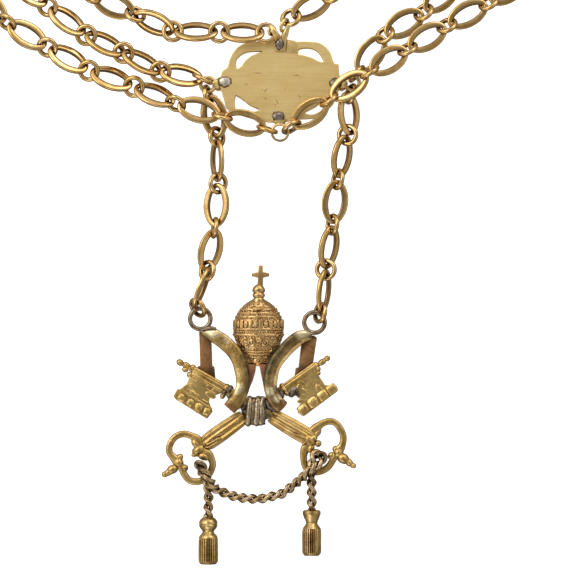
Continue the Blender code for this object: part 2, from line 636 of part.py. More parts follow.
def build_medallion(materials):
    """The plate, its four lugs and their rivets."""
    right = [Vector(point) for point in PLATE_HALF_OUTLINE]
    left = [Vector((-p.x, p.y)) for p in right[-2::-1]]
    plate = place("medallion_plate", outline_mesh("plate", right + left, PLATE_BOTTOM, PLATE_TOP),
                  materials["medallion_brass"])
    lower_right = [(-x, y) for x, y in LOWER_LEFT_OPENING]
    for opening in (UPPER_LEFT_OPENING, UPPER_RIGHT_OPENING, LOWER_LEFT_OPENING, lower_right):
        combine(plate, helper(outline_mesh("opening", opening, 0, 6)), "DIFFERENCE")
    field = [point + Vector((0, 0.6)) for point in ellipse(*FIELD_RADII, 20)]
    combine(plate, helper(outline_mesh("field", field, 0, PLATE_BOTTOM + 0.2)), "UNION")

    for side, (outline, (low, high)) in TABS.items():
        lug = place(f"lug_{side}", outline_mesh("tab", outline, low, high),
                    materials["medallion_brass"])
        if high < PLATE_TOP:
            tip = [(x if side == "left" else -x, y) for x, y in LEFT_TAB_TIP]
            combine(lug, helper(outline_mesh("tip", tip, low, TIP_TOP)), "UNION")
        for centre, radius, wire, heading, roll in LUG_EYES[side]:
            eye = helper(torus_mesh("eye", radius, wire, 12, 6), centre,
                         link_frame(direction(heading), roll))
            combine(lug, eye, "UNION")
        x, y, half_x, half_y = RIVETS[side]
        bore = RIVET_SHANK + SMALL_GAP
        for piece in (plate, lug):
            combine(piece, helper(outline_mesh("bore", ellipse(bore, bore, 10), -1, 6), (x, y, 0)),
                    "DIFFERENCE")
        seat = max(high, PLATE_TOP) + SMALL_GAP
        foot = min(low, PLATE_BOTTOM) - SMALL_GAP
        rivet_rows = ((foot, RIVET_SHANK, RIVET_SHANK), (seat, RIVET_SHANK, RIVET_SHANK),
                      (seat, half_x, half_y), (seat + RIVET_HEAD_HEIGHT / 2, half_x, half_y),
                      (seat + RIVET_HEAD_HEIGHT, 0.6 * half_x, 0.6 * half_y))
        upright = Matrix(((0, 1, 0), (0, 0, 1), (1, 0, 0)))
        place(f"rivet_{side}", loft_mesh("rivet", turned_sections(rivet_rows, 10, Vector(), upright)),
              materials["rivet_steel"], (x, y, 0))


def build_tiara(materials, base):
    """The tiara with its orb and cross, flat at the back."""
    sections = []
    for y, half_width, depth in TIARA_ROWS:
        arc = [math.pi * i / 12 for i in range(13)]
        sections.append([(TIARA_CENTRE + half_width * math.cos(a), y, depth * math.sin(a))
                         for a in arc])
    tiara = place("tiara", loft_mesh("tiara", sections), materials["tiara_gilt"], base)
    upright = Matrix(((0, 1, 0), (1, 0, 0), (0, 0, 1)))
    orb = turned_sections(ORB_ROWS, 10, Vector(ORB_CENTRE), upright)
    combine(tiara, helper(loft_mesh("orb", orb), base), "UNION")
    for bar in CROSS_BARS:
        combine(tiara, helper(outline_mesh("bar", bar, CROSS_BOTTOM, CROSS_TOP), base), "UNION")


def build_lappets(materials, base):
    """The two lappets, the copper strips behind them and the rings that hang them."""
    for side, rows in (("left", LAPPET_LEFT), ("right", LAPPET_RIGHT)):
        points = [Vector(row[:3]) for row in rows]
        widths = [row[3] for row in rows]
        sections = path_sections(points, widths, LAPPET_THICKNESS, 8)
        place(f"lappet_{side}", loft_mesh("lappet", sections), materials["lappet_brass"], base)
    for side, outline in (("left", STRIP_LEFT), ("right", STRIP_RIGHT)):
        place(f"lappet_strip_{side}", outline_mesh("strip", outline, 0, STRIP_THICKNESS),
              materials["aged_copper"], base)
    for side, centre in SUSPENSION_RINGS.items():
        mesh = torus_mesh("suspension_ring", SUSPENSION_RADIUS, SUSPENSION_WIRE, 16, 6)
        place(f"suspension_ring_{side}", mesh, materials["tarnished_silver"],
              Vector(base) + Vector(centre))


def loop_mesh(name, outline, section):
    """A closed bar that follows an outline, flat about its own middle."""
    bm = bmesh.new()
    points = [Vector(p) for p in outline]
    area = sum(a.x * b.y - b.x * a.y for a, b in zip(points, points[1:] + points[:1]))
    if area < 0:
        points.reverse()
    add_link(bm, points, [section] * len(points), Matrix.Identity(3), Vector())
    return finish_mesh(name, bm)


def build_keys(materials, base):
    """Two keys halved together where they cross, each with a bit, a bow and a finial."""
    centre = Vector((0, 0, KEY_HEIGHT))
    for side, key_shape in KEYS.items():
        across = direction(key_shape["heading"])
        stem = turned_sections(STEM_ROWS, 8, centre, link_frame(across, 0))
        key = place(f"key_{side}", loft_mesh("stem", stem), materials["key_brass"], base)
        low, high = KEY_HEIGHT - BIT_HALF_THICKNESS, KEY_HEIGHT + BIT_HALF_THICKNESS
        combine(key, helper(outline_mesh("bit", key_shape["bit"], low, high), base), "UNION")
        bow = loop_mesh("bow", key_shape["bow"], round_section(*BOW_SECTION))
        combine(key, helper(bow, Vector(base) + centre), "UNION")
        start, end = (Vector((x, y, KEY_HEIGHT)) for x, y in key_shape["finial"])
        length = (end - start).length
        finial_rows = ((-1.6, 1.5, 1.1), (0.4, 1.1, 0.9), (1.2, 0.7, 0.7),
                       (length - 1.0, 0.6, 0.6), (length, 1.2, 1.1), (length + 1.0, 0.6, 0.6))
        finial = turned_sections(finial_rows, 8, start, link_frame(end - start, 0))
        combine(key, helper(loft_mesh("finial", finial), base), "UNION")
        if key_shape["keeps_upper_half"]:
            low, high = -1, KEY_HEIGHT + SMALL_GAP / 2
        else:
            low, high = KEY_HEIGHT - SMALL_GAP / 2, 2 * KEY_HEIGHT + 1
        beside = Vector((-across.y, across.x, 0))
        corners = [across * s * NOTCH_HALF_LENGTH + beside * t * NOTCH_HALF_WIDTH
                   for s, t in ((-1, -1), (1, -1), (1, 1), (-1, 1))]
        notch = outline_mesh("notch", [(corner.x, corner.y) for corner in corners], low, high)
        combine(key, helper(notch, base), "DIFFERENCE")


def build_binding(materials, base):
    """The wire sleeve wound round the crossing of the keys."""
    middle = (BINDING_BOTTOM + BINDING_TOP) / 2
    tall = (BINDING_TOP - BINDING_BOTTOM) / 2 - BINDING_WALL
    deep = BINDING_HALF_DEPTH
    cut = BINDING_CORNER
    corners = ((-tall, cut - deep), (cut - tall, -deep), (tall - cut, -deep), (tall, cut - deep),
               (tall, deep - cut), (tall - cut, deep), (cut - tall, deep), (-tall, deep - cut))
    bm = bmesh.new()
    wound = Matrix(((0, 0, 1), (1, 0, 0), (0, 1, 0)))
    outline = [Vector(corner) for corner in corners]
    add_link(bm, outline, [BINDING_SECTION] * len(outline), wound, Vector())
    place("key_binding", finish_mesh("binding", bm), materials["tarnished_silver"],
          Vector(base) + Vector((BINDING_CENTRE, middle, KEY_HEIGHT)))


def build_tassels(materials, base):
    """The twisted cord and its two tassels."""
    route = smooth_curve([Vector(point) for point in CORD_ROUTE], 2)
    sections = path_sections(route, [CORD_RADIUS] * len(route), CORD_RADIUS, 6)
    place("tassel_cord", loft_mesh("cord", sections), materials["cord_brass"], base)
    toward = Matrix(((0, 1, 0), (1, 0, 0), (0, 0, 1)))
    for side, (x, rows) in TASSELS.items():
        widest = max(radius for _, radius in rows)
        turned = [(y, radius, radius) for y, radius in rows]
        sections = turned_sections(turned, 12, Vector((x, 0, widest)), toward)
        place(f"tassel_{side}", loft_mesh("tassel", sections), materials["cord_brass"], base)


def stand_on_origin():
    """Parent everything to one empty, moved so that the whole stands on its box's bottom middle."""
    pieces = list(bpy.context.scene.collection.objects)
    bpy.context.view_layer.update()
    corners = [piece.matrix_world @ vertex.co for piece in pieces for vertex in piece.data.vertices]
    low = Vector([min(corner[i] for corner in corners) for i in range(3)])
    high = Vector([max(corner[i] for corner in corners) for i in range(3)])
    root = bpy.data.objects.new("chain_of_office", None)
    bpy.context.scene.collection.objects.link(root)
    for piece in pieces:
        piece.parent = root
    root.location = (-(low.x + high.x) / 2, -(low.y + high.y) / 2, -low.z)


def main():
    clear_scene()
    materials = make_materials()
    ring = ring_mesh()
    oval = oval_mesh()
    build_strands(materials, ring)
    build_drops(materials, ring, oval)
    build_medallion(materials)
    base = (*PENDANT_PLACE, 0)
    build_tiara(materials, base)
    build_lappets(materials, base)
    build_keys(materials, base)
    build_binding(materials, base)
    build_tassels(materials, base)
    stand_on_origin()


main()
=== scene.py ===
"""Looks for the chain of office: every CAD node is replaced by a finely made piece in its place.

Shapes are written in millimetres about the medallion's centre, +X right, +Y away from the pendant
and +Z up; the pendant's own shapes are written about the point where its keys cross.
"""

import math

import bmesh
import bpy
from mathutils import Matrix, Vector, noise


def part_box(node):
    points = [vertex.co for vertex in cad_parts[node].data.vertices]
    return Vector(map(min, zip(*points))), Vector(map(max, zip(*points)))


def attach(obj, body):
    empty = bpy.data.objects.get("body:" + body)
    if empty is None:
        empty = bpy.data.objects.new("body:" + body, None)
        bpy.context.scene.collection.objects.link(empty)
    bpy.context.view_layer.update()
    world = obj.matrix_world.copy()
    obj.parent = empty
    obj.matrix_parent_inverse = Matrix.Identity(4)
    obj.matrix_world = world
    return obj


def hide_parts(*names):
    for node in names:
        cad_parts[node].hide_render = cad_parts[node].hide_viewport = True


MM = 0.001
PLATE_TOP_Y = 15.1
PENDANT_PLACE = Vector((-8.05, -112.7, 0))
NOISE_SEED = 8

# Without a seed, noise_vector takes one from the clock.
noise.seed_set(NOISE_SEED)

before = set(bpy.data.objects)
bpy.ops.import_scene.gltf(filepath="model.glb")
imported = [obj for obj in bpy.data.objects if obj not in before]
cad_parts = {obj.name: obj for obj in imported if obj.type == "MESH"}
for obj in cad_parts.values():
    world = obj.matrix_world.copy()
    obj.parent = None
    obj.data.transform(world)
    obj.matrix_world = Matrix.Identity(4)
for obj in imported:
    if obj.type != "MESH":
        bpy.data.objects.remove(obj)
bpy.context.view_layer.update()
plate_low, plate_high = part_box("medallion_plate")
ORIGIN = Vector(((plate_low.x + plate_high.x) / 2, plate_high.y - PLATE_TOP_Y * MM, 0))
PENDANT = ORIGIN + PENDANT_PLACE * MM


# ---------------------------------------------------------------- tables

RING_RADIUS = 3.15
RING_WIRE = 0.83
OVAL_HALF_LENGTH = 6.95
OVAL_HALF_WIDTH = 3.5
RAIL_HALF_WIDTH = 1.2
END_HALF_WIDTH = 0.8
RAIL_HALF_THICKNESS = 0.72
END_HALF_THICKNESS = 0.74
OVAL_POINT = 0.10
LINK_PITCH = 16.9
OVAL_STEP = 16.0
CHAIN_HEIGHT = 4.3
ROLL_EASE = 6
ROLL_WANDER = 3
SLACK_RISE = 0.09

FIRST_RINGS = {
    # name: (x, y, z, heading, roll)
    "top_left": (-4.9, 17.8, 5.4, 175, 13),
    "top_right": (3.8, 23.4, 3.0, 31, -36),
    "middle_left": (-27.1, 1.9, 4.5, 154, 89),
    "middle_right": (26.8, 3.7, 4.0, 47, 82),
    "bottom_left": (-4.5, -15.7, 4.4, 163, 84),
    "bottom_right": (4.0, -14.9, 4.3, 31, 71),
}
DROPS = {
    # side: rows of kind, x, y, z, heading, roll
    "left": (
        ("ring", -25.1, -3.8, 3.8, -75, 107), ("oval", -23.0, -11.1, 2.8, -79, 7),
        ("ring", -22.1, -18.3, 3.2, -76, -46), ("oval", -21.9, -26.4, 4.1, -89, 62),
        ("ring", -21.6, -34.5, 3.6, -96, -37), ("oval", -22.2, -42.1, 3.6, -93, 19),
        ("ring", -22.8, -50.0, 3.9, -98, 80), ("oval", -24.3, -57.8, 3.0, -105, -28),
        ("ring", -25.4, -65.0, 3.9, -103, 46), ("oval", -27.3, -71.0, 5.2, -111, 103),
        ("ring", -28.7, -77.9, 3.3, -56, 54),
    ),
    "right": (
        ("ring", 24.7, -3.3, 3.7, -109, 66), ("oval", 24.0, -10.1, 3.2, -86, -36),
        ("ring", 23.6, -17.6, 3.3, -100, 20), ("oval", 21.6, -25.1, 3.4, -100, -43),
        ("ring", 20.2, -33.1, 3.6, -100, 62), ("oval", 19.2, -41.0, 3.4, -96, -8),
        ("ring", 18.3, -48.9, 3.5, -97, 60), ("oval", 17.1, -56.8, 3.4, -100, -44),
        ("ring", 16.0, -64.6, 3.4, -100, 18), ("oval", 15.3, -72.1, 4.1, -96, 118),
        ("ring", 14.0, -79.7, 3.5, -102, 59),
    ),
}
STRANDS = {
    # left and right: rows of x, y, z, roll of the oval that leads to the ring, roll of the ring;
    # far: x, y round the back of the neck; settled: rolls of an oval and a ring on the long way;
    # parts: how many CAD nodes the strand's links are shared out over
    "top": {
        "left": ((-21.2, 18.2, 5.1, 42, -8), (-37.4, 18.5, 4.2, 44, 4),
                 (-50.5, 24.5, 4.2, -38, 46), (-65.7, 31.1, 4.2, -10, 50)),
        "far": ((-92, 62), (-104, 110), (-84, 165), (-40, 195), (5, 199), (52, 181), (84, 142),
                (87, 100), (66, 64)),
        "right": ((18.1, 31.2, 4.0, -24, 48), (32.3, 39.2, 4.2, -34, 54)),
        "settled": (-6, 52),
        "parts": 4,
    },
    "middle": {
        "left": ((-41.7, 4.4, 5.3, 34, -12), (-54.6, 11.0, 4.8, 44, -8),
                 (-67.6, 17.2, 4.5, 42, -8)),
        "far": ((-103, 50), (-118, 108), (-98, 172), (-48, 208), (4, 213), (58, 196), (96, 152),
                (101, 100), (80, 56)),
        "right": ((36.6, 17.3, 4.0, 0, -130), (50.1, 25.2, 4.0, 2, -128)),
        "settled": (0, -128),
        "parts": 3,
    },
    "bottom": {
        "left": ((-20.1, -11.4, 8.2, -11, 80), (-36.4, -6.8, 7.0, 12, -52),
                 (-51.0, -0.8, 4.3, 36, -14), (-66.7, 4.8, 4.1, 32, -16)),
        "far": ((-112, 38), (-132, 106), (-112, 178), (-56, 221), (4, 227), (64, 210), (109, 160),
                (116, 98), (92, 44)),
        "right": ((17.0, -5.5, 8.2, -6, -104), (31.2, 4.0, 9.5, 14, -100),
                  (44.4, 12.2, 6.8, 0, -118), (58.2, 20.5, 4.5, 2, -126)),
        "settled": (0, -126),
        "parts": 3,
    },
}


# ---------------------------------------------------------------- shared shape code

def direction(heading):
    """The unit vector in the table's plane at a heading in degrees."""
    return Vector((math.cos(math.radians(heading)), math.sin(math.radians(heading)), 0))


def link_frame(along, roll):
    """A rotation whose X runs along the chain, rolled about it from lying flat."""
    x_axis = Vector(along).normalized()
    y_axis = Vector((0, 0, 1)).cross(x_axis).normalized()
    z_axis = x_axis.cross(y_axis)
    flat = Matrix((x_axis, y_axis, z_axis)).transposed()
    return flat @ Matrix.Rotation(math.radians(roll), 3, "X")


def facing(heading, roll=0):
    """A rotation whose X runs along a heading in the table's plane."""
    return link_frame(direction(heading), roll)


def ellipse(half_x, half_y, count):
    """Points round an ellipse."""
    angles = [2 * math.pi * i / count for i in range(count)]
    return [Vector((half_x * math.cos(a), half_y * math.sin(a))) for a in angles]


def scattered(i):
    """Three shares from 0 to 1 that spread evenly as i counts up."""
    return [step * i % 1 for step in (0.618034, 0.754878, 0.569840)]


def squarish(half_x, half_y, count, power):
    """Points round an ellipse with flattened sides: power 2 is plain, 4 nearly a rectangle."""
    points = []
    for i in range(count):
        angle = 2 * math.pi * (i + 0.5) / count
        cosine, sine = math.cos(angle), math.sin(angle)
        x = half_x * math.copysign(abs(cosine) ** (2 / power), cosine)
        y = half_y * math.copysign(abs(sine) ** (2 / power), sine)
        points.append(Vector((x, y)))
    return points


def chords(points, closed=False):
    """The way that a path runs at each of its points."""
    first, last = (points[-1:], points[:1]) if closed else (points[:1], points[-1:])
    return [after - before for before, after in zip(first + points, points[1:] + last)]


def closed_normals(outline):
    """The direction away from a closed outline's inside at each of its points."""
    return [Vector((chord.y, -chord.x)).normalized() for chord in chords(outline, closed=True)]


def counter_clockwise(points):
    """The points as vectors, in counter-clockwise order."""
    points = [Vector(point[:2]) for point in points]
    area = sum(a.x * b.y - b.x * a.y for a, b in zip(points, points[1:] + points[:1]))
    return points if area > 0 else points[::-1]


def smooth_spans(padded, steps):
    """The Catmull-Rom curve through points, without the first point and the last two."""
    curve = []
    for p0, p1, p2, p3 in zip(padded, padded[1:], padded[2:], padded[3:]):
        for step in range(steps):
            t = step / steps
            curve.append(0.5 * (2 * p1 + (p2 - p0) * t + (2 * p0 - 5 * p1 + 4 * p2 - p3) * t ** 2
                                + (3 * p1 - p0 - 3 * p2 + p3) * t ** 3))
    return curve


def smooth_curve(points, steps):
    """A smooth curve through points, its ends included."""
    padded = [points[0] * 2 - points[1]] + list(points) + [points[-1] * 2 - points[-2]]
    return smooth_spans(padded, steps) + [points[-1]]


def smooth_closed(points, steps):
    """A smooth closed curve through points."""
    return smooth_spans([points[-1]] + list(points) + list(points[:2]), steps)


def smooth_rows(rows, steps):
    """A smooth curve and its half-widths through rows of x, y, z, half-width."""
    points = smooth_curve([Vector(row[:3]) for row in rows], steps)
    widths = [v.x for v in smooth_curve([Vector((row[3], 0)) for row in rows], steps)]
    return points, widths


def join_rows(bm, pairs):
    """Faces between pairs of rows of vertices, each row a closed ring."""
    for row, following in pairs:
        for j in range(len(row)):
            k = (j + 1) % len(row)
            bm.faces.new((row[j], row[k], following[k], following[j]))


def skin(bm, rows, closed_rows=False):
    """A closed surface through rings of points. Returns the new vertices."""
    made = [[bm.verts.new(point) for point in row] for row in rows]
    join_rows(bm, zip(made, made[1:] + made[:1] if closed_rows else made[1:]))
    if not closed_rows:
        bm.faces.new(made[0][::-1])
        bm.faces.new(made[-1])
    return [vertex for row in made for vertex in row]


def add_loop(bm, outline, sections, turn, centre):
    """A closed loop of bar whose inside is marked for tarnishing and painted shade. Sections are
    rows of outward, upward.
    """
    rows, tarnish_and_shade = [], []
    for point, normal, section in zip(outline, closed_normals(outline), sections):
        row = []
        widest = max(outward for outward, _ in section)
        for outward, upward in section:
            flat = point + normal * outward
            row.append(turn @ Vector((flat.x, flat.y, upward)) + centre)
            tarnish_and_shade.append(max(-outward / widest, 0))
        rows.append(row)
    made = skin(bm, rows, closed_rows=True)
    layer = bm.verts.layers.float.get("tarnish_and_shade")
    if layer is not None:
        for vertex, share in zip(made, tarnish_and_shade):
            vertex[layer] = share
    return made


def path_frames(points):
    """Side and up vectors along a path, carried along it without twist."""
    tangents = [chord.normalized() for chord in chords(points)]
    up = Vector((0, 0, 1))
    side = up.cross(tangents[0]).normalized()
    frames = []
    for tangent in tangents:
        side = (side - tangent * side.dot(tangent)).normalized()
        frames.append((side, tangent.cross(side)))
    return frames


def add_tube(bm, points, radii, sides=12, flatten=1.0):
    """A round bar with round ends along points, flattened upward where that is below 1."""
    points = [Vector(point) for point in points]
    if not hasattr(radii, "__len__"):
        radii = [radii] * len(points)
    frames = path_frames(points)

    def ring(centre, frame_here, radius):
        side, up = frame_here
        return [centre + side * p.x + up * p.y * flatten
                for p in ellipse(radius, radius, sides)]

    def round_end(end, inner, angles):
        out = (points[end] - points[inner]).normalized()
        return [ring(points[end] + out * (math.sin(math.radians(angle)) * radii[end]), frames[end],
                     math.cos(math.radians(angle)) * radii[end]) for angle in angles]

    rows = [ring(*row) for row in zip(points, frames, radii)]
    return skin(bm, round_end(0, 1, (75, 50, 25)) + rows + round_end(-1, -2, (25, 50, 75)))


def add_bar(bm, points, half_widths, half_heights, sides=20, power=3.5):
    """A squarish bar along points, its width level and its thickness upward."""
    points = [Vector(point) for point in points]
    rows = []
    for point, along, half_width, half_height in zip(points, chords(points), half_widths,
                                                     half_heights):
        side = Vector((0, 0, 1)).cross(along).normalized()
        up = along.cross(side).normalized()
        shape = squarish(half_width, half_height, sides, power)
        rows.append([point + side * p.x + up * p.y for p in shape])
    return skin(bm, rows)


def add_turned(bm, rows, centre, turn, steps=1):
    """A turned piece: rows of distance along the axis, half-width and half-depth."""
    sides = 28
    profile = [Vector(row) for row in rows]
    if steps > 1:
        profile = smooth_curve(profile, steps)
    made = []
    for distance, half_width, half_depth in profile:
        made.append([turn @ Vector((distance, p.x, p.y)) + centre
                     for p in ellipse(max(half_width, 0.02), max(half_depth, 0.02), sides)])
    return skin(bm, made)


def add_slab(bm, outline, bottom, top, rounding, turn=None, centre=None):
    """A flat piece with rounded edges."""
    outline = counter_clockwise(outline)
    normals = closed_normals(outline)
    turn = turn or Matrix.Identity(3)
    centre = centre or Vector()
    levels = [(rounding * (1 - math.sin(math.radians(angle))),
               rounding * (1 - math.cos(math.radians(angle)))) for angle in (0, 30, 60, 90)]
    heights = [(inset, bottom + lift) for inset, lift in levels]
    heights += [(inset, top - lift) for inset, lift in levels[::-1]]
    rows = []
    for inset, height in heights:
        rows.append([turn @ Vector((p.x - n.x * inset, p.y - n.y * inset, height)) + centre
                     for p, n in zip(outline, normals)])
    return skin(bm, rows)


def add_ball(bm, centre, radius, stretch=(1, 1, 1), turn=None, *, sides):
    """A round or stretched ball."""
    turn = turn or Matrix.Identity(3)
    size_x, size_y, size_z = (radius * share for share in stretch)
    levels = sides // 2 + 1
    rows = []
    for i in range(levels):
        polar = math.pi * (i + 0.3) / (levels - 0.4)
        rows.append([turn @ Vector((p.x, p.y, size_z * math.cos(polar))) + Vector(centre)
                     for p in ellipse(size_x * math.sin(polar), size_y * math.sin(polar), sides)])
    return skin(bm, rows)


def add_torus(bm, centre, radius, wire, turn, count=40, sides=14, squeeze=1.0):
    """A plain ring of round wire."""
    outline = ellipse(radius, radius * squeeze, count)
    section = [tuple(p) for p in ellipse(wire, wire, sides)]
    return add_loop(bm, outline, [section] * count, turn, Vector(centre))


def stand_in(name, bm, nodes, material, base=ORIGIN, smooth_angle=38):
    """A finished piece from a bmesh in millimetres about base, in place of its CAD nodes."""
    bmesh.ops.recalc_face_normals(bm, faces=bm.faces)
    bmesh.ops.transform(bm, matrix=Matrix.Translation(base) @ Matrix.Scale(MM, 4), verts=bm.verts)
    mesh = bpy.data.meshes.new(name)
    bm.to_mesh(mesh)
    bm.free()
    mesh.shade_smooth()
    mesh.set_sharp_from_angle(angle=math.radians(smooth_angle))
    mesh.materials.append(material)
    piece = bpy.data.objects.new(name, mesh)
    bpy.context.scene.collection.objects.link(piece)
    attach(piece, "root")
    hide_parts(*nodes)
    return piece


# ---------------------------------------------------------------- materials

SPOT_RAGGEDNESS = 0.9
SPOT_RIM = (1.5, 0.9)
# Span and samples of the ambient-occlusion mask that paints shade into hollows.
RECESS_SHADE_SPAN = (0.75, 0.25)
RECESS_SHADE_SAMPLES = 8


class Nodes:
    """A node tree of a material or a world under construction."""

    def __init__(self, owner):
        owner.use_nodes = True
        self.tree = owner.node_tree

    def node(self, kind, inputs=None, **settings):
        """A node with its settings, and its inputs as values or links."""
        made = self.tree.nodes.new(kind)
        for key, value in settings.items():
            setattr(made, key, value)
        for key, value in (inputs or {}).items():
            if isinstance(value, bpy.types.NodeSocket):
                self.tree.links.new(value, made.inputs[key])
            else:
                made.inputs[key].default_value = value
        return made

    def ramp(self, value, low, high, start=0.0, end=1.0):
        """A value carried from the span low to high onto the span start to end, and held there."""
        mapped = self.node("ShaderNodeMapRange", {"Value": value, "From Min": low,
                                                  "From Max": high, "To Min": start,
                                                  "To Max": end})
        return mapped.outputs["Result"]

    def math(self, operation, first, second):
        """Arithmetic on two values."""
        return self.node("ShaderNodeMath", {0: first, 1: second}, operation=operation).outputs[0]


class Shader(Nodes):
    """A Principled material under construction, with its pattern laid out in millimetres."""

    def __init__(self, name):
        self.material = bpy.data.materials.new(name)
        super().__init__(self.material)
        self.surface = self.tree.nodes["Principled BSDF"]
        self.place = self.node("ShaderNodeTexCoord").outputs["Object"]

    def stretched(self, per_mm, angle=0.0):
        """The position, scaled so that one unit is 1 / per_mm millimetres along each axis."""
        scale = [value / MM for value in per_mm]
        mapping = self.node("ShaderNodeMapping", {"Vector": self.place, "Scale": scale,
                                                  "Rotation": (0, 0, math.radians(angle))})
        return mapping.outputs["Vector"]

    def noise(self, per_mm, detail=3.0, rough=0.55, angle=0.0):
        """Noise from 0 to 1 with a grain of 1 / per_mm millimetres, for all axes or for each."""
        if not hasattr(per_mm, "__len__"):
            per_mm = [per_mm] * 3
        texture = self.node("ShaderNodeTexNoise", {"Vector": self.stretched(per_mm, angle),
                                                   "Scale": 1.0, "Detail": detail,
                                                   "Roughness": rough})
        return texture.outputs["Fac"]

    def mix(self, factor, first, second):
        """A colour between two colours."""
        colours = [value if isinstance(value, bpy.types.NodeSocket) else (*value, 1.0)
                   for value in (first, second)]
        return self.node("ShaderNodeMix", {0: factor, 6: colours[0], 7: colours[1]},
                         data_type="RGBA").outputs[2]

    def spot(self, x, y, radius, strength, rag):
        """A patch with a ragged rim about a point of the pendant, seen from any height."""
        place = self.node("ShaderNodeVectorMath", {0: self.place, 1: (1, 1, 0)},
                          operation="MULTIPLY")
        middle = PENDANT + Vector((x, y, 0)) * MM
        away = self.node("ShaderNodeVectorMath", {0: place.outputs[0], 1: (middle.x, middle.y, 0)},
                         operation="DISTANCE")
        far = self.math("ADD", self.math("MULTIPLY", away.outputs["Value"], 1 / (radius * MM)),
                        self.math("MULTIPLY", rag, SPOT_RAGGEDNESS))
        return self.ramp(far, *SPOT_RIM, 0.0, strength)

    def recess_shade(self, distance_mm):
        """1 in a hollow, 0 on an open surface: the mask for the painted shade in hollows."""
        shade = self.node("ShaderNodeAmbientOcclusion", {"Distance": distance_mm * MM},
                          samples=RECESS_SHADE_SAMPLES)
        return self.ramp(shade.outputs["AO"], *RECESS_SHADE_SPAN)

    def kept(self, name):
        """A value that the mesh keeps for each point."""
        return self.node("ShaderNodeAttribute", attribute_name=name).outputs["Fac"]

    def surface_values(self, **values):
        """Plain values on the surface's own sockets, which are named with _ for a space."""
        for name, value in values.items():
            self.surface.inputs[name.replace("_", " ")].default_value = value

    def finish(self, colour, roughness):
        """Join colour and roughness to the surface and return the material."""
        self.tree.links.new(colour, self.surface.inputs["Base Color"])
        self.tree.links.new(roughness, self.surface.inputs["Roughness"])
        return self.material

    def finish_metal(self, colour, roughness, height, depth_mm):
        """Join colour, roughness and dents to a surface of metal and return the material."""
        bump = self.node("ShaderNodeBump", {"Height": height, "Strength": 1.0,
                                            "Distance": depth_mm * MM})
        self.tree.links.new(bump.outputs["Normal"], self.surface.inputs["Normal"])
        self.surface_values(Metallic=1.0)
        return self.finish(colour, roughness)


def worn_metal(name, base, pale, warm, dark, roughness, grain=0.03, recess_shade=1.6, blotch=0.22,
               stain=0.0, spots=(), tarnish_and_shade=0.0, lacquer=0.0):
    """Old gilt metal: paler, warmer and stained patches, painted shade in recesses, tarnishing and
    painted shade on links' inner sides, dents and a lacquer.
    """
    shader = Shader(name)
    patches = shader.noise(blotch, detail=4.0)
    warmth = shader.noise(0.6)
    fine = shader.noise(4.0, detail=4.0, rough=0.65)
    colour = shader.mix(shader.ramp(patches, 0.38, 0.68), base, pale)
    colour = shader.mix(shader.ramp(warmth, 0.55, 0.78, 0.0, 0.7), colour, warm)
    stains = shader.noise(0.42, detail=5.0, rough=0.7)
    colour = shader.mix(shader.ramp(stains, 0.5, 0.7, 0.0, stain), colour, dark)
    for x, y, radius, strength, tint in spots:
        colour = shader.mix(shader.spot(x, y, radius, strength, stains), colour, tint)
    # The inner sides of links take the dark colour: tarnishing there, and painted shade that falls
    # inside the links.
    if tarnish_and_shade:
        inside = shader.ramp(shader.kept("tarnish_and_shade"), 0.3, 0.9, 0.0, tarnish_and_shade)
        colour = shader.mix(inside, colour, dark)
    # Painted shade: hollows found by ambient occlusion take the dark colour.
    colour = shader.mix(shader.recess_shade(recess_shade), colour, dark)
    gloss = shader.ramp(fine, 0.3, 0.7, roughness - 0.05, roughness + 0.09)
    dents = shader.math("ADD", shader.noise(1.1, detail=2.0), shader.math("MULTIPLY", fine, 0.35))
    shader.surface_values(Coat_Weight=lacquer, Coat_IOR=LACQUER_IOR, Coat_Roughness=roughness)
    return shader.finish_metal(colour, gloss, dents, grain)


def brushed_plate(name, base, pale, warm, dark, roughness):
    """Filed and brushed plate: fine lines along X, with a few pits and scratches."""
    shader = Shader(name)
    broad = shader.noise((0.09, 0.14, 0.3), detail=3.0)
    lines = shader.noise((0.07, 1.9, 1.9), detail=4.0, rough=0.65, angle=-1.5)
    fine = shader.noise(3.0, detail=4.0)
    colour = shader.mix(shader.ramp(broad, 0.35, 0.7), base, pale)
    colour = shader.mix(shader.ramp(fine, 0.5, 0.8, 0.0, 0.35), colour, warm)
    colour = shader.mix(shader.ramp(lines, 0.5, 0.75, 0.0, 0.55), colour, warm)
    # Painted shade: hollows found by ambient occlusion take the dark colour.
    colour = shader.mix(shader.recess_shade(1.2), colour, dark)
    pits = shader.node("ShaderNodeTexVoronoi", {"Vector": shader.stretched((0.42, 0.42, 0.42)),
                                                "Scale": 1.0}, feature="F1")
    pit = shader.math("MULTIPLY", shader.ramp(pits.outputs["Distance"], 0.09, 0.03),
                      shader.ramp(fine, 0.5, 0.56))
    scratches = shader.noise((0.5, 6.0, 6.0), detail=1.0, angle=52.0)
    scratch = shader.math("MULTIPLY", shader.ramp(scratches, 0.70, 0.76),
                          shader.ramp(fine, 0.45, 0.6))
    colour = shader.mix(shader.math("MULTIPLY", pit, 0.7), colour, dark)
    height = shader.math("ADD", shader.math("MULTIPLY", lines, 0.6),
                         shader.math("MULTIPLY", shader.noise(0.5), 1.2))
    height = shader.math("SUBTRACT", height, shader.math("MULTIPLY", pit, 1.6))
    height = shader.math("SUBTRACT", height, shader.math("MULTIPLY", scratch, 0.8))
    gloss = shader.ramp(fine, 0.3, 0.7, roughness - 0.04, roughness + 0.08)
    return shader.finish_metal(colour, gloss, height, 0.035)


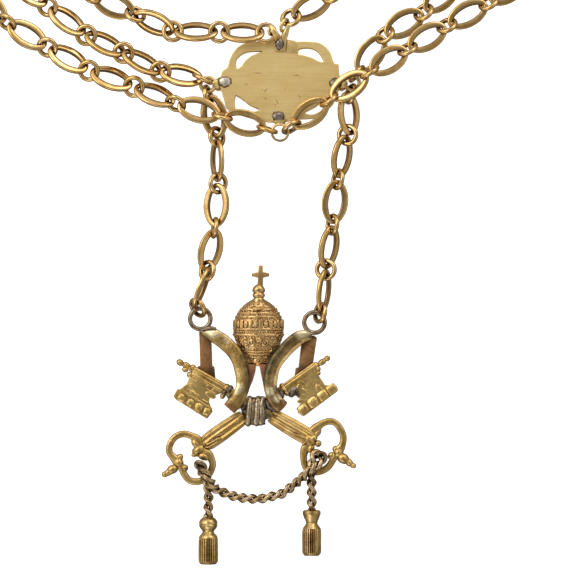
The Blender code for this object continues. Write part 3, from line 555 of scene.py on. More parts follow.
LACQUER_IOR = 1.65
# A pale silvery colour, laid as painted highlights on the lappets' upper ends and folds.
SILVER_PAINTED_HIGHLIGHT = (0.74, 0.62, 0.38)
# A near-black brown laid over listed patches on the lappets, copper strips, cord and keys.
NEAR_BLACK_BROWN = (0.05, 0.042, 0.03)
# An olive-black run along the lappets' inner edges; on the left lappet it paints the shade of the
# side wall.
OLIVE_BLACK = (0.055, 0.045, 0.018)
OLIVE_BROWN = (0.20, 0.145, 0.06)
COPPER_RED = (0.26, 0.12, 0.045)
GILT = (0.74, 0.51, 0.18)
# On the left lappet the pale patches are painted highlights, and the olive-black run along its
# inner edge is painted shade.
SPOTS_LEFT = (
    # x, y about the crossing, radius, strength, colour
    (-15.4, 26.8, 3.2, 0.8, SILVER_PAINTED_HIGHLIGHT), (-10.2, 24.2, 2.4, 0.4, SILVER_PAINTED_HIGHLIGHT),
    (-4.4, 18.0, 2.0, 0.8, OLIVE_BLACK), (-3.0, 15.0, 2.2, 0.9, OLIVE_BLACK),
    (-2.3, 12.0, 2.4, 0.9, OLIVE_BLACK), (-2.1, 9.0, 2.4, 0.9, OLIVE_BLACK),
    (-2.6, 6.0, 2.2, 0.8, OLIVE_BLACK), (-10.2, 17.4, 2.0, 0.5, NEAR_BLACK_BROWN),
    (-6.6, 6.6, 2.4, 0.8, SILVER_PAINTED_HIGHLIGHT), (-10.2, 0.2, 2.6, 0.9, COPPER_RED),
    (-8.0, -1.6, 2.6, 0.9, COPPER_RED), (-17.8, 24.2, 2.0, 0.6, NEAR_BLACK_BROWN),
)
# On the right lappet the pale patches are painted highlights; olive-black patches run along its
# inner edge.
SPOTS_RIGHT = (
    (15.6, 26.4, 3.2, 0.85, SILVER_PAINTED_HIGHLIGHT), (12.4, 25.2, 2.2, 0.6, OLIVE_BLACK),
    (9.8, 22.6, 2.5, 0.8, OLIVE_BLACK), (7.0, 19.8, 2.8, 0.9, OLIVE_BLACK),
    (4.6, 16.4, 2.9, 0.95, OLIVE_BLACK), (3.0, 12.8, 2.7, 0.95, OLIVE_BLACK),
    (2.4, 9.2, 2.4, 0.9, OLIVE_BLACK), (7.4, 6.6, 1.9, 0.8, NEAR_BLACK_BROWN),
    (4.4, 5.6, 2.0, 0.8, SILVER_PAINTED_HIGHLIGHT), (7.0, 3.2, 1.8, 0.7, SILVER_PAINTED_HIGHLIGHT),
    (8.6, -1.0, 2.2, 0.9, COPPER_RED), (10.6, 0.6, 2.4, 0.9, COPPER_RED),
)
SPOTS_STRIPS = (
    (-15.6, 25.0, 2.4, 0.8, NEAR_BLACK_BROWN), (-20.4, 26.4, 1.5, 0.5, NEAR_BLACK_BROWN), (-16.0, 12.2, 2.2, 0.6, NEAR_BLACK_BROWN),
    (15.6, 13.2, 2.4, 0.6, NEAR_BLACK_BROWN), (20.8, 24.4, 1.3, 0.4, NEAR_BLACK_BROWN), (16.0, 24.4, 2.0, 0.4, NEAR_BLACK_BROWN),
)
SPOTS_LUGS = ((8.1, 94.4, 3.8, 0.8, OLIVE_BROWN),)
SPOTS_CORD = (
    (-19.8, -20.2, 2.2, 0.8, NEAR_BLACK_BROWN), (-17.6, -25.4, 1.8, 0.5, NEAR_BLACK_BROWN), (22.3, -16.8, 2.4, 0.6, NEAR_BLACK_BROWN),
    (19.2, -24.8, 1.8, 0.5, NEAR_BLACK_BROWN), (-17.0, -31.0, 1.6, 0.4, NEAR_BLACK_BROWN), (19.1, -31.4, 1.8, 0.4, NEAR_BLACK_BROWN),
)
SPOTS_KEYS = (
    (13.6, 4.6, 1.9, 0.95, NEAR_BLACK_BROWN), (-11.4, 5.2, 1.6, 0.8, NEAR_BLACK_BROWN), (-3.4, -3.6, 1.8, 0.7, NEAR_BLACK_BROWN),
    (3.6, -3.4, 2.0, 0.7, NEAR_BLACK_BROWN), (-18.0, -24.6, 2.2, 0.7, NEAR_BLACK_BROWN),
    (-17.0, -13.4, 1.5, 0.4, COPPER_RED), (17.4, -11.8, 1.8, 0.5, COPPER_RED),
    (-25.2, -21.6, 1.2, 0.5, NEAR_BLACK_BROWN),
    (8.2, -7.4, 2.6, 0.5, COPPER_RED), (13.2, -9.2, 2.6, 0.5, COPPER_RED),
    (-21.5, 4.5, 6.0, 0.5, GILT), (20.5, 5.0, 6.0, 0.5, GILT),
)
# Each metal's hollow distance sets how far the painted shade in its hollows reaches, in
# millimetres.
METALS = {
    # The chain's links take tarnishing and painted shade on their inner sides.
    "chain_brass": worn_metal(
        "chain_gilt", (0.55, 0.325, 0.085), (0.70, 0.475, 0.205), (0.44, 0.215, 0.042),
        (0.11, 0.045, 0.006), 0.19, grain=0.006, recess_shade=1.0, stain=0.25, tarnish_and_shade=0.85,
        lacquer=0.35),
    "medallion_brass": brushed_plate(
        "medallion_gilt", (0.86, 0.62, 0.245), (0.94, 0.71, 0.32), (0.66, 0.44, 0.15),
        (0.18, 0.10, 0.03), 0.42),
    "lug_gilt": worn_metal(
        "lug_gilt", (0.80, 0.57, 0.22), (0.90, 0.67, 0.30), (0.60, 0.38, 0.13), (0.12, 0.07, 0.02),
        0.36, grain=0.03, recess_shade=1.3, stain=0.3, spots=SPOTS_LUGS),
    "rivet_steel": worn_metal(
        "rivet_grey", (0.19, 0.155, 0.135), (0.36, 0.31, 0.265), (0.15, 0.09, 0.06),
        (0.03, 0.02, 0.015), 0.34, grain=0.14, blotch=0.8, stain=0.7),
    "rivet_pale": worn_metal(
        "rivet_silver", (0.66, 0.56, 0.44), (0.86, 0.78, 0.66), (0.50, 0.37, 0.26),
        (0.05, 0.04, 0.03), 0.36, grain=0.16, blotch=0.8, stain=0.8),
    "tiara_gilt": worn_metal(
        "tiara_gilt", (0.57, 0.34, 0.13), (0.70, 0.475, 0.21), (0.50, 0.22, 0.08),
        (0.09, 0.036, 0.012), 0.27, grain=0.05, recess_shade=1.3, stain=0.25),
    "lappet_brass": worn_metal(
        "lappet_left_gilt", (0.33, 0.195, 0.05), (0.44, 0.295, 0.10), (0.28, 0.15, 0.04),
        (0.05, 0.035, 0.014), 0.31, grain=0.13, recess_shade=2.0, blotch=0.28, stain=0.45,
        spots=SPOTS_LEFT, lacquer=0.2),
    "lappet_dark": worn_metal(
        "lappet_right_gilt", (0.24, 0.14, 0.04), (0.39, 0.26, 0.10), (0.21, 0.105, 0.03),
        (0.035, 0.028, 0.014), 0.31, grain=0.14, recess_shade=2.0, blotch=0.28, stain=0.7,
        spots=SPOTS_RIGHT, lacquer=0.2),
    "aged_copper": worn_metal(
        "strip_copper", (0.31, 0.152, 0.062), (0.40, 0.22, 0.095), (0.25, 0.09, 0.04),
        (0.05, 0.02, 0.01), 0.40, grain=0.06, recess_shade=2.5, stain=0.4, spots=SPOTS_STRIPS),
    "key_brass": worn_metal(
        "key_gilt", (0.49, 0.30, 0.08), (0.64, 0.435, 0.16), (0.40, 0.185, 0.045),
        (0.08, 0.04, 0.014), 0.30, grain=0.09, recess_shade=1.5, stain=0.5, spots=SPOTS_KEYS,
        lacquer=0.2),
    "tarnished_silver": worn_metal(
        "silver_grey", (0.38, 0.275, 0.16), (0.66, 0.54, 0.37), (0.26, 0.165, 0.08),
        (0.03, 0.022, 0.018), 0.26, grain=0.10, recess_shade=1.2, blotch=0.5, stain=0.6),
    "cord_brass": worn_metal(
        "cord_gilt", (0.33, 0.205, 0.085), (0.72, 0.54, 0.32), (0.24, 0.12, 0.045),
        (0.024, 0.013, 0.006), 0.24, grain=0.04, recess_shade=2.6, blotch=0.35, stain=0.6,
        spots=SPOTS_CORD),
    "tassel_gilt": worn_metal(
        "tassel_gilt", (0.46, 0.295, 0.10), (0.64, 0.45, 0.19), (0.38, 0.20, 0.055),
        (0.04, 0.02, 0.008), 0.26, grain=0.05, recess_shade=1.2, stain=0.6),
    "strip_red": worn_metal(
        "strip_red", (0.34, 0.15, 0.075), (0.42, 0.22, 0.11), (0.28, 0.09, 0.05),
        (0.05, 0.02, 0.01), 0.45, grain=0.06, recess_shade=2.0),
    "ring_grey": worn_metal(
        "ring_grey", (0.21, 0.145, 0.085), (0.46, 0.36, 0.24), (0.17, 0.10, 0.05),
        (0.04, 0.025, 0.018), 0.24, grain=0.05, recess_shade=1.0, blotch=0.5, stain=0.5),
    "scratch_brown": worn_metal(
        "scratch_brown", (0.27, 0.17, 0.055), (0.46, 0.31, 0.11), (0.20, 0.12, 0.04),
        (0.05, 0.03, 0.01), 0.5, blotch=0.8, stain=0.8),
    "solder_dark": worn_metal(
        "solder_dark", (0.10, 0.08, 0.066), (0.25, 0.205, 0.165), (0.13, 0.08, 0.05),
        (0.018, 0.014, 0.012), 0.32, grain=0.14, recess_shade=1.5, blotch=0.8),
}


# ---------------------------------------------------------------- chains

def wobble(place, salt, amount):
    """A share near 1 that differs a little from link to link, by where the link is."""
    return 1 + amount * noise.noise(Vector(place) * 0.37 + Vector((salt, 7.1 * salt, 3.3)))


def add_ring(bm, centre, turn):
    """One round link of round wire, slightly out of true as a hand-closed ring is."""
    radius = RING_RADIUS * wobble(centre, 1.3, 0.02)
    return add_torus(bm, centre, radius, RING_WIRE, turn, squeeze=wobble(centre, 2.9, 0.05))


def add_oval(bm, centre, turn):
    """One oval link, its rails broad and a little flattened and its ends narrow and round."""
    half_width = OVAL_HALF_WIDTH * wobble(centre, 4.4, 0.05)
    count = 48
    outline = []
    for i in range(count):
        angle = 2 * math.pi * i / count
        x, y = math.cos(angle), math.sin(angle)
        outline.append(Vector((OVAL_HALF_LENGTH * x, half_width * y * (1 - OVAL_POINT * x * x))))
    sections = []
    for point in outline:
        rail = min(abs(point.y) / half_width, 1) ** 0.8
        half = END_HALF_WIDTH + (RAIL_HALF_WIDTH - END_HALF_WIDTH) * rail
        depth = END_HALF_THICKNESS + (RAIL_HALF_THICKNESS - END_HALF_THICKNESS) * rail
        sections.append([tuple(p) for p in squarish(half, depth, 22, 2 + 1.6 * rail)])
    return add_loop(bm, outline, sections, turn, Vector(centre))


def evenly_spaced(curve, pitch):
    """Points along a curve, a whole number of near-equal steps apart, ends included."""
    lengths = [0.0]
    for a, b in zip(curve, curve[1:]):
        lengths.append(lengths[-1] + (b - a).length)
    count = math.ceil(lengths[-1] / pitch)
    points = []
    for i in range(count + 1):
        target = lengths[-1] * i / count
        j = max(k for k, length in enumerate(lengths) if length <= target + 1e-9)
        if j == len(curve) - 1:
            points.append(curve[-1].copy())
            continue
        part = (target - lengths[j]) / (lengths[j + 1] - lengths[j])
        points.append(curve[j].lerp(curve[j + 1], part))
    return points


def strand_rings(strand):
    """Every ring of a strand from its first left one to its first right one, with rolls."""
    table = STRANDS[strand]
    left_first = FIRST_RINGS[strand + "_left"]
    right_first = FIRST_RINGS[strand + "_right"]
    rings = [(Vector(left_first[:3]), 0.0, left_first[4])]
    for x, y, z, oval_roll, ring_roll in table["left"]:
        rings.append((Vector((x, y, z)), oval_roll, ring_roll))
    left_end = rings[-1][0]
    right_rows = [(Vector(row[:3]), row[3], row[4]) for row in table["right"]]
    right_end = right_rows[-1][0]
    far = [Vector((x, y, CHAIN_HEIGHT)) for x, y in table["far"]]
    steps = 12
    curve = smooth_curve([rings[-2][0], left_end] + far + [right_end, right_rows[-2][0]], steps)
    hidden = evenly_spaced(curve[steps:-steps], LINK_PITCH)
    for i, point in enumerate(hidden[1:], start=1):
        nearer_end = min(i, len(hidden) - i)
        start = table["left"][-1][3:] if 2 * i < len(hidden) else table["right"][-1][3:]
        ease = min(nearer_end / ROLL_EASE, 1)
        oval_roll, ring_roll = (
            near + (settled - near) * ease for near, settled in zip(start, table["settled"]))
        rings.append((point, oval_roll + ROLL_WANDER * math.sin(1.7 * i),
                      ring_roll + ROLL_WANDER * math.sin(2.4 * i)))
    ovals_back = [row[1] for row in right_rows[::-1]]
    for (place_on, _, ring_roll), oval_roll in zip(right_rows[-2::-1], ovals_back):
        rings.append((place_on, oval_roll, ring_roll))
    rings.append((Vector(right_first[:3]), ovals_back[-1], right_first[4]))
    return rings


def strand_links(strand):
    """A strand's links in order: kind, centre, direction and roll."""
    rings = strand_rings(strand)
    links = []
    for i, (centre, oval_roll, ring_roll) in enumerate(rings):
        before = rings[max(i - 1, 0)][0]
        after = rings[min(i + 1, len(rings) - 1)][0]
        if i > 0:
            along = centre - before
            slack = max(OVAL_STEP - along.length, 0)
            along.z += SLACK_RISE * slack * along.length
            links.append(("oval", (before + centre) / 2, along, oval_roll))
        links.append(("ring", centre, after - before, ring_roll))
    return links


def chain_mesh():
    """An empty mesh whose points keep how much tarnishing and painted shade they take."""
    bm = bmesh.new()
    bm.verts.layers.float.new("tarnish_and_shade")
    return bm


def add_chain_link(bm, kind, centre, turn):
    """One link of either kind, raised if it would sink into the table."""
    made = add_ring(bm, centre, turn) if kind == "ring" else add_oval(bm, centre, turn)
    lowest = min(vertex.co.z for vertex in made)
    for vertex in made:
        vertex.co.z += max(-lowest, 0)


def make_chain_piece(node, links):
    """The links of one CAD node."""
    bm = chain_mesh()
    for kind, centre, along, roll in links:
        add_chain_link(bm, kind, centre, link_frame(along, roll))
    stand_in(f"fine_{node}", bm, [node], METALS["chain_brass"])


def make_chains():
    """The strands, the first rings and the two drops."""
    for strand, table in STRANDS.items():
        for side in ("left", "right"):
            x, y, z, heading, roll = FIRST_RINGS[f"{strand}_{side}"]
            make_chain_piece(f"ring_{strand}_{side}",
                             [("ring", Vector((x, y, z)), direction(heading), roll)])
        links = strand_links(strand)[1:-1]
        share = math.ceil(len(links) / table["parts"] / 2) * 2
        for part in range(table["parts"]):
            make_chain_piece(f"strand_{strand}_{part + 1}", links[part * share:(part + 1) * share])
    for side, rows in DROPS.items():
        for number, (kind, x, y, z, heading, roll) in enumerate(rows, start=1):
            make_chain_piece(f"drop_{side}_{number:02d}_{kind}",
                             [(kind, Vector((x, y, z)), direction(heading), roll)])


make_chains()


# ---------------------------------------------------------------- medallion

PLATE_BOTTOM = 2.0
PLATE_TOP = 3.3
PLATE_OUTLINE = (
    (-2.8, 15.0), (-5.8, 15.1), (-8.8, 15.1), (-11.8, 14.7), (-14.3, 13.4), (-16.3, 11.4),
    (-17.7, 8.7), (-18.5, 6.0), (-20.1, 4.8), (-20.8, 3.1), (-21.0, 0.9), (-20.8, -1.2),
    (-20.3, -2.9), (-19.4, -5.9), (-18.2, -8.8), (-12.3, -11.3), (-5.8, -12.9), (-3.0, -13.3),
    (2.5, -13.0), (5.3, -12.3), (11.8, -11.9), (15.4, -10.0), (18.5, -7.0), (19.6, -4.2),
    (20.6, -1.8), (21.0, 0.7), (20.8, 3.3), (20.6, 5.0), (20.4, 7.2), (19.1, 7.4), (18.5, 8.6),
    (17.6, 11.2), (15.8, 13.4), (13.3, 14.7), (9.3, 15.1), (5.8, 15.0), (2.8, 14.9),
)
OPENINGS = (
    ((-15.1, 5.7), (-15.4, 8.2), (-14.3, 9.9), (-12.3, 11.2), (-9.8, 11.7), (-6.2, 11.7),
     (-7.8, 11.0), (-10.3, 9.9), (-12.3, 8.2), (-13.6, 6.4)),
    ((6.3, 12.1), (7.5, 12.7), (10.3, 12.8), (12.8, 11.9), (14.3, 10.2), (15.2, 8.2),
     (13.8, 8.1), (11.3, 9.4), (8.3, 10.3), (6.5, 10.7)),
    ((-15.6, -4.0), (-15.1, -3.8), (-12.8, -5.3), (-10.3, -7.2), (-7.2, -8.7), (-9.3, -9.3),
     (-13.0, -8.9), (-15.1, -8.6), (-15.9, -6.3)),
    ((8.6, -9.9), (10.2, -8.8), (12.8, -7.4), (15.2, -5.2), (16.0, -4.4), (15.8, -6.6),
     (14.2, -9.0), (11.4, -10.4)),
)
OPENING_SLOPE = 0.35
OPENING_NARROWING = 0.04
FIELD_RADII = (13.5, 9.0)
FIELD_CENTRE_Y = 0.6
FIELD_BOTTOM = 0.45
FIELD_BORDERS = ((0.6, 0.45), (2.0, 0.25))
TOP_TAB = ((-1.7, 11.7), (-2.0, 14.8), (-2.6, 16.2), (-1.1, 16.9), (1.0, 16.9), (2.4, 16.2),
           (2.2, 14.8), (1.9, 11.7))
TOP_TAB_BACKING = ((2.2, 11.2), (6.3, 10.9), (5.7, 11.9), (5.9, 13.4), (5.3, 15.3), (2.2, 15.8))
SIDE_TAB = ((-17.4, 3.0), (-21.8, 2.6), (-22.9, 1.6), (-22.9, -1.6), (-21.8, -2.2), (-17.4, -1.4))
BOTTOM_TAB = ((-2.2, -10.6), (0.9, -10.6), (2.6, -12.2), (1.5, -14.2), (-1.5, -14.2), (-3.1, -12.0))
LUGS = {
    # side: tab outline, bottom and top, eyes as centre, radius, wire, heading, roll;
    # horns from the tab into an eye as rows of x, y, z, half-width; rivet as x, y, half-widths
    "top": (TOP_TAB, 3.35, 4.5,
            (((-3.1, 18.9, 4.6), 1.5, 0.6, 86, 60), ((1.6, 20.6, 4.0), 2.2, 0.6, 70, 62)),
            (((-0.5, 15.4, 4.1, 1.3), (-1.2, 16.9, 6.5, 1.15), (-2.1, 18.5, 7.1, 0.95),
              (-2.9, 19.9, 6.7, 0.7), (-3.3, 20.9, 5.6, 0.5)),
             ((0.9, 15.4, 4.1, 1.3), (1.8, 17.4, 4.4, 1.15), (2.5, 19.2, 4.6, 0.85),
              (3.0, 20.8, 4.9, 0.55))),
            (-0.2, 14.2, 1.2, 1.9)),
    "left": (SIDE_TAB, 0.7, 1.7,
             (((-25.2, 0.0, 3.0), 2.5, 0.65, 180, 0),),
             (((-20.8, 0.2, 2.0, 1.9), (-22.3, 0.1, 3.1, 1.7), (-23.6, 0.0, 3.3, 0.9)),),
             (-19.3, 1.0, 2.0, 1.65)),
    "right": ([(-x, y) for x, y in SIDE_TAB], 0.7, 1.7,
              (((25.2, 0.6, 3.0), 2.5, 0.65, 0, 0),),
              (((20.8, 0.4, 2.0, 1.9), (22.3, 0.5, 3.1, 1.7), (23.6, 0.6, 3.3, 0.9)),),
              (19.3, 0.4, 1.7, 1.5)),
    "bottom": (BOTTOM_TAB, 3.3, 3.65,
               (((0.0, -16.8, 4.2), 2.85, 0.45, -90, 0),),
               (((-0.2, -12.4, 4.0, 2.4), (-0.1, -13.5, 4.0, 1.6), (0.0, -14.4, 4.2, 0.6)),),
               (-0.7, -11.2, 1.9, 1.5)),
}
HORN_HALF_HEIGHT = 0.62
HORN_TAPER = 0.08
RIVET_SHANK = 0.9
RIVET_DOME = (
    # height over the seat, share of the head's half-widths
    (-0.02, 0.93), (0.12, 1.02), (0.5, 1.03), (0.78, 0.96), (1.0, 0.82), (1.15, 0.55), (1.2, 0.1),
)


def dent(verts, amount, grain):
    """Push points about a little, as hammering and filing leave them."""
    for vertex in verts:
        vertex.co += noise.noise_vector(vertex.co * grain) * amount


def add_plate(bm, outline, openings, bottom, top, rounding):
    """A flat plate with openings that narrow downward on their upper sides."""
    rims = ([], [])
    for loop, side in [(outline, -1)] + [(opening, 1) for opening in openings]:
        loop = smooth_closed(counter_clockwise(loop), 5)
        centre = sum(loop, Vector((0, 0))) / len(loop)
        rows = []
        for height, inset in ((bottom, rounding), (bottom + 0.3 * rounding, 0.3 * rounding),
                              (bottom + rounding, 0), (top - rounding, 0),
                              (top - 0.3 * rounding, 0.3 * rounding), (top, rounding)):
            row = []
            for point, normal in zip(loop, closed_normals(loop)):
                place = point + normal * side * inset
                if side > 0:
                    depth = (top - height) / (top - bottom)
                    place = place.lerp(centre, OPENING_NARROWING * depth)
                    place.y -= OPENING_SLOPE * depth
                row.append(bm.verts.new((place.x, place.y, height)))
            rows.append(row)
        join_rows(bm, zip(rows, rows[1:]))
        for rim, row in zip(rims, (rows[0], rows[-1])):
            rim += [bm.edges.get((row[j - 1], row[j])) for j in range(len(row))]
    for rim in rims:
        bmesh.ops.triangle_fill(bm, use_beauty=True, edges=rim, normal=(0, 0, 1))


SCRATCHES = (
    # x, y, x, y of the ends of strokes on the plate
    (-5.6, -2.6, -4.5, -1.4), (-5.3, -4.6, -4.9, -5.4), (-1.5, -5.4, -0.6, -6.9),
    (-2.0, -6.6, -1.5, -7.6), (4.6, 3.2, 6.8, 3.1), (-9.4, 4.0, -6.6, 3.9), (6.2, -3.9, 7.3, -4.4),
    (-12.2, 0.3, -11.4, -0.2), (-6.4, -1.9, -5.9, -2.1), (1.6, -1.6, 2.2, -1.5),
)
SCRATCH_RADIUS = 0.16
# How far the dark rims that paint shade round the rivets spread, and how ragged their edges are.
RIVET_SHADE_SPREAD = 0.35
RIVET_SHADE_RAG = 0.5


def make_marks():
    """Scratches on the plate, and dark rims round the rivets that paint the shade about their
    heads.
    """
    bm = bmesh.new()
    for x_a, y_a, x_b, y_b in SCRATCHES:
        start, end = Vector((x_a, y_a, PLATE_TOP)), Vector((x_b, y_b, PLATE_TOP))
        middle = (start + end) / 2 + Vector((0.15, 0.1, 0))
        radii = [share * SCRATCH_RADIUS for share in (0.5, 1.0, 0.5)]
        add_tube(bm, [start, middle, end], radii, sides=8, flatten=0.3)
    stand_in("plate_scratches", bm, [], METALS["scratch_brown"])
    # Painted shade: a dark, solder-coloured rim under each rivet head.
    bm = bmesh.new()
    for _, _, high, _, _, (x, y, half_x, half_y) in LUGS.values():
        spread = ellipse(half_x + RIVET_SHADE_SPREAD, half_y + RIVET_SHADE_SPREAD, 40)
        outline = [Vector((x + p.x, y + p.y)) + noise.noise_vector((p.x, p.y, x)).xy * RIVET_SHADE_RAG
                   for p in spread]
        add_slab(bm, outline, PLATE_TOP - 0.1, max(high, PLATE_TOP) + 0.06, 0.03)
    stand_in("rivet_painted_shade", bm, [], METALS["solder_dark"])


def make_medallion():
    """The plate, its lugs and its rivets."""
    bm = bmesh.new()
    add_plate(bm, PLATE_OUTLINE, OPENINGS, PLATE_BOTTOM, PLATE_TOP, 0.22)
    field = [Vector((p.x, p.y + FIELD_CENTRE_Y)) for p in ellipse(*FIELD_RADII, 72)]
    add_slab(bm, field, FIELD_BOTTOM, PLATE_BOTTOM + 0.1, 0.35)
    for inset, wire in FIELD_BORDERS:
        border = ellipse(FIELD_RADII[0] - inset, FIELD_RADII[1] - inset, 72)
        add_loop(bm, border, [[tuple(p) for p in ellipse(wire, wire, 10)]] * 72,
                 Matrix.Identity(3), Vector((0, FIELD_CENTRE_Y, FIELD_BOTTOM + 0.02)))
    stand_in("fine_medallion_plate", bm, ["medallion_plate"],
             METALS["medallion_brass"], smooth_angle=14)
    for side, (tab, low, high, eyes, horns, rivet) in LUGS.items():
        bm = bmesh.new()
        add_slab(bm, tab, low, high, 0.15)
        if side == "top":
            add_slab(bm, TOP_TAB_BACKING, PLATE_TOP + 0.01, PLATE_TOP + 0.32, 0.1)
        for centre, radius, wire, heading, roll in eyes:
            add_torus(bm, centre, radius, wire, facing(heading, roll))
        for rows in horns:
            points, widths = smooth_rows(rows, 4)
            heights = [HORN_HALF_HEIGHT - HORN_TAPER * i / len(points) for i in range(len(points))]
            add_bar(bm, points, widths, heights, sides=16, power=2.6)
        stand_in(f"fine_lug_{side}", bm, [f"lug_{side}"], METALS["lug_gilt"])
        x, y, half_x, half_y = rivet
        seat = max(high, PLATE_TOP)
        bm = bmesh.new()
        upright = Matrix(((0, 1, 0), (0, 0, 1), (1, 0, 0)))
        rows = [(min(low, PLATE_BOTTOM) - 0.3, RIVET_SHANK, RIVET_SHANK),
                (seat - 0.1, RIVET_SHANK, RIVET_SHANK)]
        rows += [(seat + height, half_x * share, half_y * share) for height, share in RIVET_DOME]
        dent(add_turned(bm, rows, Vector((x, y, 0)), upright), 0.12, 0.8)
        finish = METALS["rivet_pale" if side == "left" else "rivet_steel"]
        stand_in(f"fine_rivet_{side}", bm, [f"rivet_{side}"], finish,
                 smooth_angle=60)


make_medallion()
make_marks()


# ---------------------------------------------------------------- tiara

TIARA_AXIS = 0.5
TIARA_PROFILE = (
    # y, half-width, depth
    (38.0, 1.7, 2.6), (37.4, 2.6, 3.2), (36.6, 4.0, 4.0), (35.6, 5.3, 4.6), (34.4, 6.2, 5.1),
    (32.9, 7.1, 5.6), (31.4, 7.8, 5.9), (30.4, 8.4, 6.1), (28.9, 8.6, 6.2), (27.4, 8.5, 6.2),
    (25.8, 8.7, 6.2), (24.3, 8.4, 6.1), (22.8, 7.9, 5.9), (21.2, 7.2, 5.6), (19.6, 6.5, 5.0),
    (18.0, 5.8, 4.3), (16.4, 5.0, 3.5), (14.9, 4.2, 2.8), (14.3, 3.9, 2.4),
)
TIARA_RIDGES = (
    # y, half-width along y, height
    (34.3, 0.45, 0.40), (33.0, 0.40, 0.40), (31.7, 0.50, 0.50), (27.3, 0.45, 0.42),
    (25.3, 0.55, 0.50), (19.4, 0.40, 0.42), (18.4, 0.35, 0.36), (17.4, 0.35, 0.32),
)
BEAD_ROWS = (
    # y, lift, radius, number
    (32.4, 0.10, 0.30, 30), (26.3, 0.12, 0.34, 30), (24.6, 0.10, 0.32, 22), (20.3, 0.10, 0.30, 18),
    (30.9, 0.05, 0.22, 34),
)
ORB_ROWS = (
    # y, half-width, half-depth
    (36.6, 2.1, 1.7), (37.8, 1.9, 1.6), (38.2, 1.6, 1.4), (38.5, 2.05, 1.7), (39.2, 2.2, 1.8),
    (39.6, 2.1, 1.7), (39.9, 1.75, 1.5), (40.2, 2.1, 1.7), (40.8, 2.3, 1.85), (41.3, 2.2, 1.9),
    (41.9, 1.9, 1.7), (42.5, 1.35, 1.3), (42.9, 0.8, 0.8),
)
TIARA_BUMPS = 420
STONE_Y = 29.1
STONE_OBLONG = ((-0.62, -1.35), (0.62, -1.35), (0.62, 1.35), (-0.62, 1.35))
STONE_LOZENGE = ((0, -1.4), (0.85, 0), (0, 1.4), (-0.85, 0))
SMALL_RINGS_Y = 22.6
CROSS = (
    (0.4, 49.6), (2.1, 49.6), (2.15, 47.3), (4.35, 46.9), (4.35, 45.7), (2.2, 45.2), (2.1, 42.4),
    (0.1, 42.4), (0.3, 45.2), (-1.85, 45.7), (-1.85, 46.9), (0.35, 47.3),
)


def tiara_size(y):
    """The tiara's half-width and depth at a height, its ridges included."""
    for (y_a, width_a, depth_a), (y_b, width_b, depth_b) in zip(TIARA_PROFILE, TIARA_PROFILE[1:]):
        if y >= y_b:
            break
    part = min(max((y_a - y) / (y_a - y_b), 0), 1)
    lift = sum(height * math.exp(-((y - place) / half) ** 4)
               for place, half, height in TIARA_RIDGES)
    return width_a + (width_b - width_a) * part + lift, depth_a + (depth_b - depth_a) * part + lift


def on_tiara(y, angle, lift=0.0):
    """A point on the tiara's face and a rotation whose Z points out of it there."""
    half_width, depth = tiara_size(y)
    cosine, sine = math.cos(math.radians(angle)), math.sin(math.radians(angle))
    below = tiara_size(y - 0.6)
    outward = Vector((cosine / half_width, 0, sine / depth)).normalized()
    slope = Vector(((half_width - below[0]) * cosine, 0.6, (depth - below[1]) * sine)).normalized()
    outward = (outward - slope * outward.dot(slope)).normalized()
    point = Vector((TIARA_AXIS + half_width * cosine, y, depth * sine)) + outward * lift
    return point, Matrix((slope.cross(outward), slope, outward)).transposed()


